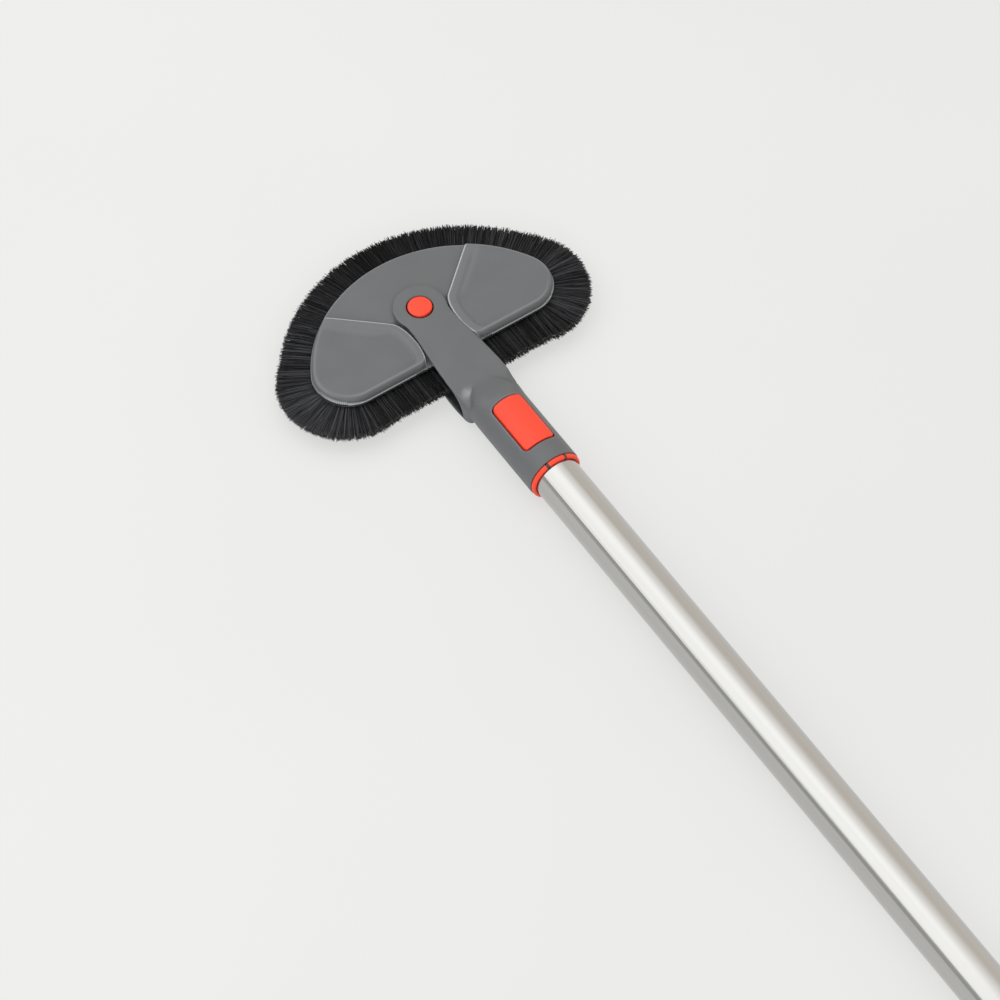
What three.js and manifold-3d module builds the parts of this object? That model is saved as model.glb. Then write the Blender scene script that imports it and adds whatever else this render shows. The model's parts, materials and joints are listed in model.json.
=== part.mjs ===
// Tile brush: a D-shaped head with a bristle fringe, held in a forked arm on an aluminium pole.
// Millimetres, +Z up. The pole runs along -Y, and the head lies flat in the XY plane.
// Sizes below are measured from the pivot axis (x = y = 0) and from the pole's axis (z = 0).
import * as THREE from 'three';
import { mergeVertices } from 'three/addons/utils/BufferGeometryUtils.js';
import Module from 'manifold-3d';

const wasm = await Module();
wasm.setup();

// Clearances
const FIT = 0.3;
const BUTTON_GAP = 0.4;

// Pole, grip and hanging cap
const POLE_R = 12.5;
const POLE_WALL = 1.2;
const POLE_SHOWN = 436;
const GRIP_LENGTH = 122;
const GRIP_R = 16.4;
const GRIP_END_ROUND = 3;
const GRIP_MOUTH = 1;
const GRIP_NECK_SHARE = 0.15;
const CAP_COLLAR = 5;
const CAP_CHAMFER = 2;
const CAP_SPIGOT = 22;
const TAB_REACH = 24;
const TAB_INSET = 4.8;
const TAB_THICK = 7;
const TAB_ROUND = 1;
const HANG_HOLE_R = 5;

// Head outline: a wide far arc, two round corners and a straight edge on the pole's side
const PLATE_ARC_R = 79.2;
const PLATE_FAR_Y = 38;
const PLATE_EDGE_Y = -32.5;
const PLATE_CORNER_R = 19.7;

// Levels of the head and of the fork around it
const BASE_TOP = 0.9;
const BASE_THICK = 3.1;
const BASE_ROUND = 1.3;
const FAN_RISE = 2.1;
const FAN_FOOT_R = 36;
const WING_RISE = 3;
const WING_ROUND = 2.9;
const WING_SIDE_ROUND = 0.8;
const WING_INSET = 0.5;
const WING_WALL = 2.2;
const DISH_DEPTH = 0.6;
const LIP_WIDTH = 4.4;
const BAND_THICK = 2.2;
const LOWER_THICK = 1.6;
const LOWER_INSET = 1;
const LOWER_ROUND = 0.7;

// Wing outline beside the arm and along the fan behind the pivot
const LOBE_X = 13.1;
const LOBE_Y = -17;
const LOBE_NEAR_X = 16.6;
const LOBE_FAR_X = 15.6;
const LOBE_FAR_Y = -1.6;
const FAN_BEND = 3;
const FAN_ANGLE = THREE.MathUtils.degToRad(41.2);

// Bristle fringe
const BAND_INSET = 2;
const BAND_WIDTH = 6.4;
const STRAND_REACH = 16.6;
const STRAND_CORNER_REACH = 2.4;
const STRAND_RAGGED = 1.3;
const STRAND_PITCH = 2.2;
const STRAND_ROOT_R = 0.42;
const STRAND_TIP_R = 0.3;
const STRAND_SINK = 0.7;
const STRAND_DROOP = 1.1;
const STRAND_SPREAD = 0.5;
const STRAND_ROWS = [0.27, 0.77];

// Forked arm
const TONGUE_THICK = 1.2;
const PRONG_THICK = 2.3;
const TONGUE_END_R = 14.5;
const WAIST_X = 11.4;
const ARM_HALF = 16;
const ARM_TAPER = 1;
const ARM_CORNER = 6.5;
const ARM_EDGE_ROUND = 0.8;
const TONGUE_LEAVE = THREE.MathUtils.degToRad(24);
const FORK_ROOT_Y = -64;
const FORK_BACK_Y = -70;
const SPINE_HALF = 3.4;
const HUB_R = 10;

// Socket
const SOCKET_R = 14.8;
const SOCKET_MOUTH_Y = -123.6;
const MOUTH_CHAMFER = 0.5;
const SOCKET_STOP_Y = -77;
const NOSE_Y = -60;
const NOSE_R = 5;
const NOSE_END_Y = -78;
const COLLET_BORE_R = 13.9;
const COLLET_DEPTH = 9;
const COLLET_LIP = 2.2;
const COLLET_R = 14.4;
const COLLET_CHAMFER = 0.6;
const COLLET_SLOT = 1.6;
const COLLET_SLOT_ANGLE = THREE.MathUtils.degToRad(22.5);

// Release button, its spring and the plug that carries it
const BUTTON_HALF = 8.6;
const BUTTON_FRONT_Y = -79.6;
const BUTTON_LENGTH = 31.4;
const BUTTON_BOW = 0.3;
const BUTTON_CORNER = 2.6;
const BUTTON_PROUD = 0.2;
const BUTTON_CROWN = 2.6;
const BUTTON_FLANGE = 1.2;
const BUTTON_FOOT_Z = 4;
const BUTTON_WALL = 1.8;
const PLUG_TOP_Z = -1;
const PLUG_LENGTH = 40;
const PLUG_POCKET = 1.2;
const SPRING_R = 4;
const SPRING_WIRE_R = 0.5;
const SPRING_TURNS = 5;

// Pivot
const PIVOT_BUTTON_R = 6.6;
const PIVOT_BUTTON_PROUD = 0.9;
const PIVOT_BUTTON_THICK = 1.8;
const PIVOT_BUTTON_ROUND = 0.6;
const PIVOT_BUTTON_CROWN = 0.1;
const PIVOT_SEAT_Z = 2;
const AXLE_R = 4.6;
const BUSH_WALL = 1.7;
const STEM_R = 2.1;
const WASHER_R = 6.2;
const WASHER_THICK = 1.4;
const DISC_SPRING_R = 5.2;
const DISC_SPRING_THICK = 0.4;
const CLAMP_HEAD_R = 3.2;
const CLAMP_HEAD_THICK = 1.2;
const CLAMP_CHAMFER = 0.4;
const CLAMP_SLOT = 1;
const CLAMP_SHANK_R = 0.9;
const CLAMP_SHANK = 5;

// Screws that close the head
const SCREW_HEAD_R = 2.8;
const SCREW_HEAD_THICK = 1.4;
const SCREW_R = 1.4;
const SCREW_BITE = 3.4;
const SCREW_ROOF = 1;
const BOSS_R = 3.6;

// Worked-out levels
const UPPER_BOTTOM = BASE_TOP - BASE_THICK;
const WING_TOP = BASE_TOP + WING_RISE;
const TONGUE_LOW = WING_TOP + FIT;
const TONGUE_TOP = TONGUE_LOW + TONGUE_THICK;
const BAND_TOP = UPPER_BOTTOM - FIT;
const BAND_BOTTOM = BAND_TOP - BAND_THICK;
const LOWER_FLOOR = BAND_BOTTOM - FIT;
const HEAD_BOTTOM = LOWER_FLOOR - LOWER_THICK;
const PRONG_TOP = HEAD_BOTTOM - FIT;
const PRONG_BOTTOM = PRONG_TOP - PRONG_THICK;
const HUB_LOW = BASE_TOP + FIT;
const FORK_ROUND = (TONGUE_LOW - PRONG_TOP) / 2;
const FORK_MID = (TONGUE_LOW + PRONG_TOP) / 2;

// Worked-out places along the pole
const BORE_R = POLE_R + FIT;
const POLE_BORE_R = POLE_R - POLE_WALL;
const COLLET_END_Y = SOCKET_MOUTH_Y - FIT - COLLET_LIP;
const GRIP_FRONT_Y = COLLET_END_Y - POLE_SHOWN;
const GRIP_BACK_Y = GRIP_FRONT_Y - GRIP_LENGTH;
const CAP_FRONT_Y = GRIP_BACK_Y - FIT;
const CAP_BACK_Y = CAP_FRONT_Y - CAP_COLLAR;
const TAIL_Y = CAP_BACK_Y - TAB_REACH;
const POLE_FRONT_Y = SOCKET_STOP_Y - FIT;
const PLUG_FRONT_Y = POLE_FRONT_Y - FIT;

// Worked-out head outline
const ARC_Y = PLATE_FAR_Y - PLATE_ARC_R;
const CORNER_Y = PLATE_EDGE_Y + PLATE_CORNER_R;
const CORNER_X = Math.sqrt((PLATE_ARC_R - PLATE_CORNER_R) ** 2 - (CORNER_Y - ARC_Y) ** 2);
const CORNER_TURN = Math.atan2(CORNER_Y - ARC_Y, CORNER_X);
const PLATE_HALF = CORNER_X + PLATE_CORNER_R;

// Worked-out screws: four under the wings and one behind the far band, each with the roof above it
const SCREW_OUT_X = CORNER_X - 2 * BOSS_R;
const SCREW_IN_X = CORNER_X / 2;
const SCREW_FAR_Y = PLATE_FAR_Y - BAND_INSET - BAND_WIDTH - 2 * FIT - BOSS_R;
const WING_ROOF = WING_TOP - DISH_DEPTH;
const SCREWS = [
  { x: -SCREW_OUT_X, y: CORNER_Y, roof: WING_ROOF },
  { x: -SCREW_IN_X, y: CORNER_Y, roof: WING_ROOF },
  { x: SCREW_IN_X, y: CORNER_Y, roof: WING_ROOF },
  { x: SCREW_OUT_X, y: CORNER_Y, roof: WING_ROOF },
  { x: 0, y: SCREW_FAR_Y, roof: BASE_TOP },
];

// The origin stands below the middle of the whole brush, on the ground it lies on:
// the grip and its cap have a flat below, level with the socket, so that the brush doesn't roll.
const MIDDLE_Y = (PLATE_FAR_Y + STRAND_REACH + TAIL_Y) / 2;
const GROUND_Z = -SOCKET_R;

// Facets round a full turn of a large piece and of a small one, and along each curve of an outline
const ROUND_STEPS = 36;
const SMALL_STEPS = 18;
const RIM_STEPS = 9;
const CURVE_STEPS = 6;
const ARM_STEPS = 8;
const GRIP_STEPS = 9;
const POLE_STEPS = 48;
const FACE_STEPS = 80;
const WIRE_STEPS = 3;
const COIL_STEPS = 12;

// Run of a cutting form past the face it cuts, sink of one form into another, and a reach past everything
const OVER = 1;
const SINK = 0.5;
const BEYOND = 60;

// Turns a closed three.js geometry into a solid with its faces pointing out.
function solid(geometry) {
  const bare = geometry.clone();
  bare.deleteAttribute('normal');
  bare.deleteAttribute('uv');
  const merged = mergeVertices(bare, 1e-4);
  const position = merged.attributes.position;
  const triangles = [];
  const corner = [new THREE.Vector3(), new THREE.Vector3(), new THREE.Vector3()];
  let volume = 0;
  for (let i = 0; i < merged.index.count; i += 3) {
    const ids = [0, 1, 2].map((k) => merged.index.getX(i + k));
    if (new Set(ids).size < 3) continue;
    ids.forEach((id, k) => corner[k].fromBufferAttribute(position, id));
    volume += corner[0].dot(corner[1].clone().cross(corner[2]));
    triangles.push(ids);
  }
  const triVerts = new Uint32Array(triangles.flatMap((ids) => (volume < 0 ? ids.reverse() : ids)));
  const vertProperties = new Float32Array(position.array);
  return new wasm.Manifold(new wasm.Mesh({ numProp: 3, vertProperties, triVerts }));
}

// A flat outline with repeated points removed, so that its rounded edges stay even.
function outline(shape, steps) {
  const points = shape.getPoints(steps);
  const kept = points.filter((p, i) => p.distanceTo(points[(i + 1) % points.length]) > 1e-5);
  return new THREE.Shape(kept);
}

// A slab between two levels, with its upper and lower edges rounded by `round` inside the outline.
function slabGeometry(shape, low, high, round = 0, steps = CURVE_STEPS, arcs = 3) {
  const geometry = new THREE.ExtrudeGeometry(outline(shape, steps), {
    depth: high - low - 2 * round,
    bevelEnabled: round > 0,
    bevelThickness: round,
    bevelSize: round,
    bevelOffset: -round,
    bevelSegments: arcs,
  });
  geometry.translate(0, 0, low + round);
  return geometry;
}

function slab(shape, low, high, round, steps, arcs) {
  return solid(slabGeometry(shape, low, high, round, steps, arcs));
}

function mirrored(geometry) {
  return geometry.clone().scale(-1, 1, 1);
}

function box(x0, x1, y0, y1, z0, z1) {
  const geometry = new THREE.BoxGeometry(x1 - x0, y1 - y0, z1 - z0);
  geometry.translate((x0 + x1) / 2, (y0 + y1) / 2, (z0 + z1) / 2);
  return solid(geometry);
}

function points(pairs) {
  return pairs.map(([r, along]) => new THREE.Vector2(r, along));
}

// Solids of revolution: about the pole's axis (Y), and about an upright axis through (x, y).
function turned(profile, steps = ROUND_STEPS) {
  return solid(new THREE.LatheGeometry(points(profile), steps));
}

function upright(profile, x = 0, y = 0, steps = SMALL_STEPS) {
  const geometry = new THREE.LatheGeometry(points(profile), steps);
  geometry.rotateX(Math.PI / 2);
  geometry.translate(x, y, 0);
  return solid(geometry);
}

function rod(r, low, high) {
  return [[0, low], [r, low], [r, high], [0, high]];
}

function ring(inner, outer, low, high) {
  return [[inner, low], [outer, low], [outer, high], [inner, high], [inner, low]];
}

function roundedRect(x0, x1, y0, y1, r) {
  const shape = new THREE.Shape();
  shape.moveTo(x0 + r, y0);
  shape.lineTo(x1 - r, y0);
  shape.absarc(x1 - r, y0 + r, r, -Math.PI / 2, 0, false);
  shape.absarc(x1 - r, y1 - r, r, 0, Math.PI / 2, false);
  shape.absarc(x0 + r, y1 - r, r, Math.PI / 2, Math.PI, false);
  shape.absarc(x0 + r, y0 + r, r, Math.PI, Math.PI * 1.5, false);
  return shape;
}

// Head outline, moved inward by `inset`.
function plateShape(inset) {
  const r = PLATE_CORNER_R - inset;
  const shape = new THREE.Shape();
  shape.moveTo(-CORNER_X, PLATE_EDGE_Y + inset);
  shape.lineTo(CORNER_X, PLATE_EDGE_Y + inset);
  shape.absarc(CORNER_X, CORNER_Y, r, -Math.PI / 2, CORNER_TURN, false);
  shape.absarc(0, ARC_Y, PLATE_ARC_R - inset, CORNER_TURN, Math.PI - CORNER_TURN, false);
  shape.absarc(-CORNER_X, CORNER_Y, r, Math.PI - CORNER_TURN, Math.PI * 1.5, false);
  return shape;
}

// Ground covered by the right wing: beside the arm's lobe and on the near side of the fan's edge.
function wingShape(inset) {
  const along = new THREE.Vector2(Math.cos(FAN_ANGLE), Math.sin(FAN_ANGLE));
  const shift = new THREE.Vector2(inset, (inset * (along.y - 1)) / along.x);
  const far = new THREE.Vector2(LOBE_FAR_X, LOBE_FAR_Y).addScaledVector(along, PLATE_HALF + BEYOND);
  const near = PLATE_EDGE_Y - BEYOND;
  const shape = new THREE.Shape();
  shape.moveTo(LOBE_NEAR_X + shift.x, near);
  shape.lineTo(far.x + shift.x, near);
  shape.lineTo(far.x + shift.x, far.y + shift.y);
  const bend = new THREE.Vector2(LOBE_FAR_X, LOBE_FAR_Y).addScaledVector(along, FAN_BEND).add(shift);
  const ease = new THREE.Vector2(LOBE_FAR_X, LOBE_FAR_Y).addScaledVector(along, -FAN_BEND / 2).add(shift);
  const farRun = LOBE_FAR_Y - LOBE_Y;
  const nearRun = LOBE_Y - PLATE_EDGE_Y;
  const lobe = new THREE.Vector2(LOBE_X, LOBE_Y).add(shift);
  const end = new THREE.Vector2(LOBE_NEAR_X, PLATE_EDGE_Y).add(shift);
  shape.lineTo(bend.x, bend.y);
  shape.bezierCurveTo(ease.x, ease.y, lobe.x, lobe.y + farRun / 2, lobe.x, lobe.y);
  const third = lobe.clone().lerp(end, 1 / 3);
  shape.bezierCurveTo(lobe.x, third.y, third.x, end.y + nearRun / 3, end.x, end.y);
  return shape;
}

function bothSides(geometry) {
  return solid(geometry).add(solid(mirrored(geometry)));
}

// Top of a screw: its bite into the upper shell, or less where the roof above it is thin.
function screwTip({ roof }) {
  return Math.min(UPPER_BOTTOM + SCREW_BITE, roof - SCREW_ROOF - FIT);
}

const BUSH_R = AXLE_R + FIT + BUSH_WALL;

// Gentle rise of the fan from inside the rim up to the pivot, clear of the arm's hub.
function fanRise() {
  const top = BASE_TOP + FAN_RISE;
  const cone = upright([[0, UPPER_BOTTOM], [FAN_FOOT_R, UPPER_BOTTOM], [FAN_FOOT_R, BASE_TOP],
    [HUB_R + FIT, top], [0, top]], 0, 0, ROUND_STEPS);
  const beyondPivot = box(-FAN_FOOT_R, FAN_FOOT_R, 0, FAN_FOOT_R, UPPER_BOTTOM, top)
    .intersect(slab(plateShape(BASE_ROUND), UPPER_BOTTOM, top, 0, RIM_STEPS));
  return cone.intersect(beyondPivot).subtract(upright(rod(HUB_R + FIT, BASE_TOP, top + OVER)));
}

function upperShell() {
  const base = slab(plateShape(0), UPPER_BOTTOM, BASE_TOP, BASE_ROUND, RIM_STEPS);
  const domeLow = WING_TOP - 2 * WING_ROUND - OVER;
  const dome = slab(plateShape(WING_INSET), domeLow, WING_TOP, WING_ROUND, RIM_STEPS);
  const wing = slabGeometry(wingShape(0), UPPER_BOTTOM, WING_TOP, WING_SIDE_ROUND, CURVE_STEPS, 2);
  const dishes = slab(plateShape(WING_INSET + LIP_WIDTH + WING_ROUND), WING_ROOF, WING_TOP + OVER)
    .intersect(bothSides(slabGeometry(wingShape(LIP_WIDTH), WING_ROOF, WING_TOP + OVER)));
  const bandBack = BAND_INSET + BAND_WIDTH + 2 * FIT;
  let hollow = slab(plateShape(bandBack + WING_WALL), UPPER_BOTTOM - OVER, WING_ROOF - WING_WALL)
    .intersect(bothSides(slabGeometry(wingShape(WING_WALL), UPPER_BOTTOM - OVER, WING_TOP)));
  for (const { x, y } of SCREWS) {
    hollow = hollow.subtract(upright(rod(BOSS_R, UPPER_BOTTOM, WING_TOP), x, y));
  }
  let shell = base.add(fanRise()).add(dome.intersect(bothSides(wing))).subtract(dishes).subtract(hollow);
  shell = shell.subtract(upright(rod(BUSH_R + FIT, UPPER_BOTTOM - OVER, WING_TOP)));
  for (const screw of SCREWS) {
    const hole = rod(SCREW_R + FIT, UPPER_BOTTOM - OVER, screwTip(screw) + FIT);
    shell = shell.subtract(upright(hole, screw.x, screw.y));
  }
  return shell;
}

function lowerShell() {
  const plateau = slab(plateShape(BAND_INSET + BAND_WIDTH + FIT), LOWER_FLOOR - SINK, BAND_TOP);
  let shell = slab(plateShape(LOWER_INSET), HEAD_BOTTOM, LOWER_FLOOR, LOWER_ROUND, RIM_STEPS, 1).add(plateau);
  shell = shell.subtract(upright(rod(BUSH_R + FIT, HEAD_BOTTOM - OVER, BAND_TOP + OVER)));
  const seat = HEAD_BOTTOM + SCREW_HEAD_THICK + 2 * FIT;
  for (const { x, y } of SCREWS) {
    shell = shell.subtract(upright(rod(SCREW_HEAD_R + FIT, HEAD_BOTTOM - OVER, seat), x, y));
    shell = shell.subtract(upright(rod(SCREW_R + FIT, HEAD_BOTTOM, BAND_TOP + OVER), x, y));
  }
  return shell;
}

function shellScrew(screw) {
  const { x, y } = screw;
  const head = HEAD_BOTTOM + FIT;
  const neck = head + SCREW_HEAD_THICK;
  const tip = screwTip(screw);
  const body = upright([[0, head], [SCREW_HEAD_R, head], [SCREW_HEAD_R, neck], [SCREW_R, neck],
    [SCREW_R, tip - SCREW_R], [0, tip]], x, y);
  const slot = SCREW_HEAD_R / 4;
  const cross = box(x - SCREW_HEAD_R / 2, x + SCREW_HEAD_R / 2, y - slot, y + slot, head - OVER, head + slot)
    .add(box(x - slot, x + slot, y - SCREW_HEAD_R / 2, y + SCREW_HEAD_R / 2, head - OVER, head + slot));
  return body.subtract(cross);
}

function headBush() {
  return upright(ring(AXLE_R + FIT, BUSH_R, HEAD_BOTTOM, BASE_TOP));
}

// Point and outward direction at distance `s` along the right half of the head's outline,
// from the middle of the straight edge round to the top of the far arc.
const CORNER_SWEEP = CORNER_TURN + Math.PI / 2;
const CORNER_LENGTH = PLATE_CORNER_R * CORNER_SWEEP;
const HALF_LENGTH = CORNER_X + CORNER_LENGTH + PLATE_ARC_R * (Math.PI / 2 - CORNER_TURN);

function rimAt(s) {
  if (s < CORNER_X) return { x: s, y: PLATE_EDGE_Y, turn: -Math.PI / 2 };
  const onCorner = s - CORNER_X;
  const turn = onCorner < CORNER_LENGTH
    ? onCorner / PLATE_CORNER_R - Math.PI / 2
    : CORNER_TURN + (onCorner - CORNER_LENGTH) / PLATE_ARC_R;
  const [cx, cy, r] = onCorner < CORNER_LENGTH
    ? [CORNER_X, CORNER_Y, PLATE_CORNER_R]
    : [0, ARC_Y, PLATE_ARC_R];
  return { x: cx + r * Math.cos(turn), y: cy + r * Math.sin(turn), turn };
}

// Even but ragged variation for the strands, the same on every run.
function ragged(i) {
  return Math.sin(i * 12.9) * Math.cos(i * 4.7);
}

function strand(s, row, i) {
  const { x, y, turn } = rimAt(s);
  const out = new THREE.Vector3(Math.cos(turn), Math.sin(turn), 0);
  const level = BAND_TOP - BAND_THICK * STRAND_ROWS[row];
  const root = new THREE.Vector3(x, y, level).addScaledVector(out, -BAND_INSET - STRAND_SINK);
  const fromCorner = (s - CORNER_X - CORNER_LENGTH / 2) / CORNER_LENGTH;
  const longer = STRAND_CORNER_REACH * Math.max(0, 1 - fromCorner ** 2);
  const reach = STRAND_REACH + longer - (STRAND_RAGGED * (1 + ragged(i))) / 2;
  const tip = new THREE.Vector3(x, y, level).addScaledVector(out, reach);
  tip.z -= STRAND_DROOP + (row === 0 ? -STRAND_SPREAD : STRAND_SPREAD);
  const span = tip.clone().sub(root);
  const geometry = new THREE.CylinderGeometry(STRAND_TIP_R, STRAND_ROOT_R, span.length(), 3, 1);
  geometry.translate(0, span.length() / 2, 0);
  const up = new THREE.Vector3(0, 1, 0);
  geometry.applyQuaternion(new THREE.Quaternion().setFromUnitVectors(up, span.normalize()));
  geometry.translate(root.x, root.y, root.z);
  return geometry;
}

// One quarter of the fringe: a slice of the backing band with its two rows of strands.
function fringe(side, far) {
  const sMiddle = CORNER_X + (PLATE_CORNER_R * Math.PI) / 2;
  const [from, to] = far ? [sMiddle, HALF_LENGTH] : [0, sMiddle];
  const y0 = far ? CORNER_Y + FIT / 2 : -PLATE_HALF * 2;
  const y1 = far ? PLATE_HALF * 2 : CORNER_Y - FIT / 2;
  const quarter = box(FIT / 2, PLATE_HALF * 2, y0, y1, BAND_BOTTOM - OVER, BAND_TOP + OVER);
  let piece = slab(plateShape(BAND_INSET), BAND_BOTTOM, BAND_TOP, 0, RIM_STEPS)
    .subtract(slab(plateShape(BAND_INSET + BAND_WIDTH), BAND_BOTTOM - OVER, BAND_TOP + OVER))
    .intersect(quarter);
  const count = Math.round((to - from) / STRAND_PITCH);
  const step = (to - from) / count;
  for (let i = 0; i < count; i += 1) {
    for (const row of [0, 1]) {
      piece = piece.add(solid(strand(from + step * (i + STRAND_ROWS[row]), row, 2 * i + row)));
    }
  }
  return side > 0 ? piece : solid(mirrored(bufferOf(piece)));
}

// Plan of both prongs of the fork: a round end about the pivot, a slight waist and a wider root.
function armShape() {
  const startX = TONGUE_END_R * Math.cos(TONGUE_LEAVE);
  const startY = -TONGUE_END_R * Math.sin(TONGUE_LEAVE);
  const wideY = (FORK_ROOT_Y * 4) / 5;
  const waistY = startY - (startY - wideY) / 6;
  const easeY = (startY + wideY) / 2;
  const easeX = ARM_HALF - ARM_TAPER;
  const cornerY = FORK_BACK_Y + ARM_CORNER;
  const roundY = FORK_BACK_Y + ARM_CORNER / 3;
  const backX = SOCKET_R - ARM_CORNER / 2;
  const shape = new THREE.Shape();
  shape.absarc(0, 0, TONGUE_END_R, -TONGUE_LEAVE, Math.PI + TONGUE_LEAVE, false);
  shape.bezierCurveTo(-WAIST_X, waistY, -easeX, easeY, -ARM_HALF, wideY);
  shape.lineTo(-ARM_HALF, cornerY);
  shape.bezierCurveTo(-ARM_HALF, roundY, -SOCKET_R, FORK_BACK_Y, -backX, FORK_BACK_Y);
  shape.lineTo(backX, FORK_BACK_Y);
  shape.bezierCurveTo(SOCKET_R, FORK_BACK_Y, ARM_HALF, roundY, ARM_HALF, cornerY);
  shape.lineTo(ARM_HALF, wideY);
  shape.bezierCurveTo(easeX, easeY, WAIST_X, waistY, startX, startY);
  return shape;
}

// Gap between the two prongs, with a rounded root, cut right across the arm.
function forkGap() {
  const middle = FORK_ROOT_Y + FORK_ROUND;
  const side = new THREE.Shape();
  side.moveTo(middle, PRONG_TOP);
  side.lineTo(TONGUE_END_R + OVER, PRONG_TOP);
  side.lineTo(TONGUE_END_R + OVER, TONGUE_LOW);
  side.lineTo(middle, TONGUE_LOW);
  side.absarc(middle, FORK_MID, FORK_ROUND, Math.PI / 2, Math.PI * 1.5, false);
  const geometry = slabGeometry(side, -ARM_HALF - OVER, ARM_HALF + OVER);
  geometry.applyMatrix4(new THREE.Matrix4().makeBasis(
    new THREE.Vector3(0, 1, 0), new THREE.Vector3(0, 0, 1), new THREE.Vector3(1, 0, 0)));
  return solid(geometry);
}

// Outside of the socket: a nose that swells out of the flat fork, then a plain tube.
function socketProfile() {
  const run = NOSE_Y - NOSE_END_Y;
  const swell = new THREE.CubicBezierCurve(
    new THREE.Vector2(NOSE_R, NOSE_Y),
    new THREE.Vector2((NOSE_R + 2 * SOCKET_R) / 3, NOSE_Y - run / 4),
    new THREE.Vector2(SOCKET_R, NOSE_Y - run / 2),
    new THREE.Vector2(SOCKET_R, NOSE_END_Y),
  );
  const nose = swell.getPoints(ARM_STEPS).map((p) => [p.x, p.y]);
  const mouth = [[SOCKET_R, SOCKET_MOUTH_Y + MOUTH_CHAMFER], [SOCKET_R - MOUTH_CHAMFER, SOCKET_MOUTH_Y],
    [0, SOCKET_MOUTH_Y]];
  return [[0, NOSE_Y], ...nose, ...mouth];
}

// Face of the release button: straight sides and slightly bowed ends, grown by `grow`.
function buttonShape(grow) {
  const half = BUTTON_HALF + grow;
  const front = BUTTON_FRONT_Y + grow;
  const back = BUTTON_FRONT_Y - BUTTON_LENGTH - grow;
  const r = BUTTON_CORNER + grow;
  const shape = new THREE.Shape();
  shape.moveTo(-half, front - r);
  shape.lineTo(-half, back + r);
  shape.quadraticCurveTo(-half, back, -half + r, back);
  shape.quadraticCurveTo(0, back - BUTTON_BOW, half - r, back);
  shape.quadraticCurveTo(half, back, half, back + r);
  shape.lineTo(half, front - r);
  shape.quadraticCurveTo(half, front, half - r, front);
  shape.quadraticCurveTo(0, front + 2 * BUTTON_BOW, -half + r, front);
  shape.quadraticCurveTo(-half, front, -half, front - r);
  return shape;
}

function armFork() {
  let body = slab(armShape(), PRONG_BOTTOM, TONGUE_TOP, ARM_EDGE_ROUND, ARM_STEPS, 2)
    .add(turned(socketProfile()))
    .subtract(forkGap());
  const spine = box(-SPINE_HALF, SPINE_HALF, FORK_ROOT_Y, 0, HUB_LOW, TONGUE_LOW + SINK);
  body = body.add(spine).add(upright(rod(HUB_R, HUB_LOW, TONGUE_LOW + SINK)));
  body = body.subtract(upright(rod(PIVOT_BUTTON_R + BUTTON_GAP, PIVOT_SEAT_Z, TONGUE_TOP + OVER)));
  body = body.subtract(upright(rod(AXLE_R + FIT, PRONG_BOTTOM - OVER, PIVOT_SEAT_Z + OVER)));
  const stepY = SOCKET_MOUTH_Y + COLLET_DEPTH + FIT;
  const bore = [[0, SOCKET_STOP_Y], [BORE_R, SOCKET_STOP_Y], [BORE_R, stepY], [COLLET_BORE_R, stepY],
    [COLLET_BORE_R, SOCKET_MOUTH_Y - OVER], [0, SOCKET_MOUTH_Y - OVER]];
  body = body.subtract(turned(bore));
  return body.subtract(slab(buttonShape(BUTTON_GAP), 0, SOCKET_R + OVER));
}

// Slotted red collet at the socket's mouth: a sleeve inside and a lip that shows.
function colletRing() {
  const inner = BORE_R;
  const sleeve = COLLET_BORE_R - FIT;
  const front = SOCKET_MOUTH_Y + COLLET_DEPTH;
  const lip = SOCKET_MOUTH_Y - FIT;
  let body = turned([[inner, front], [sleeve, front], [sleeve, lip], [COLLET_R, lip],
    [COLLET_R, COLLET_END_Y + COLLET_CHAMFER], [COLLET_R - COLLET_CHAMFER, COLLET_END_Y],
    [inner, COLLET_END_Y], [inner, front]]);
  for (const turn of [COLLET_SLOT_ANGLE, -COLLET_SLOT_ANGLE]) {
    for (const flip of [0, Math.PI]) {
      const cut = new THREE.BoxGeometry(COLLET_SLOT, COLLET_DEPTH + COLLET_LIP, COLLET_R);
      cut.translate(0, COLLET_END_Y + (COLLET_DEPTH + COLLET_LIP) / 2 - COLLET_SLOT, COLLET_R);
      cut.rotateY(turn + flip);
      body = body.subtract(solid(cut));
    }
  }
  return body;
}

function buttonAt(r, grow, low) {
  return slab(buttonShape(grow), low, SOCKET_R + BUTTON_CROWN)
    .intersect(turned(rod(r, BUTTON_FRONT_Y - BUTTON_LENGTH - BEYOND, BUTTON_FRONT_Y + BEYOND), FACE_STEPS));
}

function releaseButton() {
  const face = buttonAt(SOCKET_R + BUTTON_PROUD, 0, BUTTON_FOOT_Z);
  const foot = buttonAt(POLE_BORE_R - FIT, BUTTON_FLANGE, BUTTON_FOOT_Z);
  const hollow = slab(buttonShape(-BUTTON_WALL), BUTTON_FOOT_Z - OVER, POLE_R - BUTTON_WALL);
  return face.add(foot).subtract(hollow);
}

// Plug pressed into the pole's end: a half-round bed with a pocket for the button's spring.
const BUTTON_MIDDLE_Y = BUTTON_FRONT_Y - BUTTON_LENGTH / 2;

function polePlug() {
  const back = PLUG_FRONT_Y - PLUG_LENGTH;
  const bed = turned(rod(POLE_BORE_R - FIT, back, PLUG_FRONT_Y));
  const room = box(-POLE_R, POLE_R, back - OVER, PLUG_FRONT_Y + OVER, PLUG_TOP_Z, POLE_R);
  const pocketR = SPRING_R + SPRING_WIRE_R + FIT;
  const pocket = upright(rod(pocketR, PLUG_TOP_Z - PLUG_POCKET, PLUG_TOP_Z + OVER), 0, BUTTON_MIDDLE_Y);
  return bed.subtract(room).subtract(pocket);
}

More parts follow.
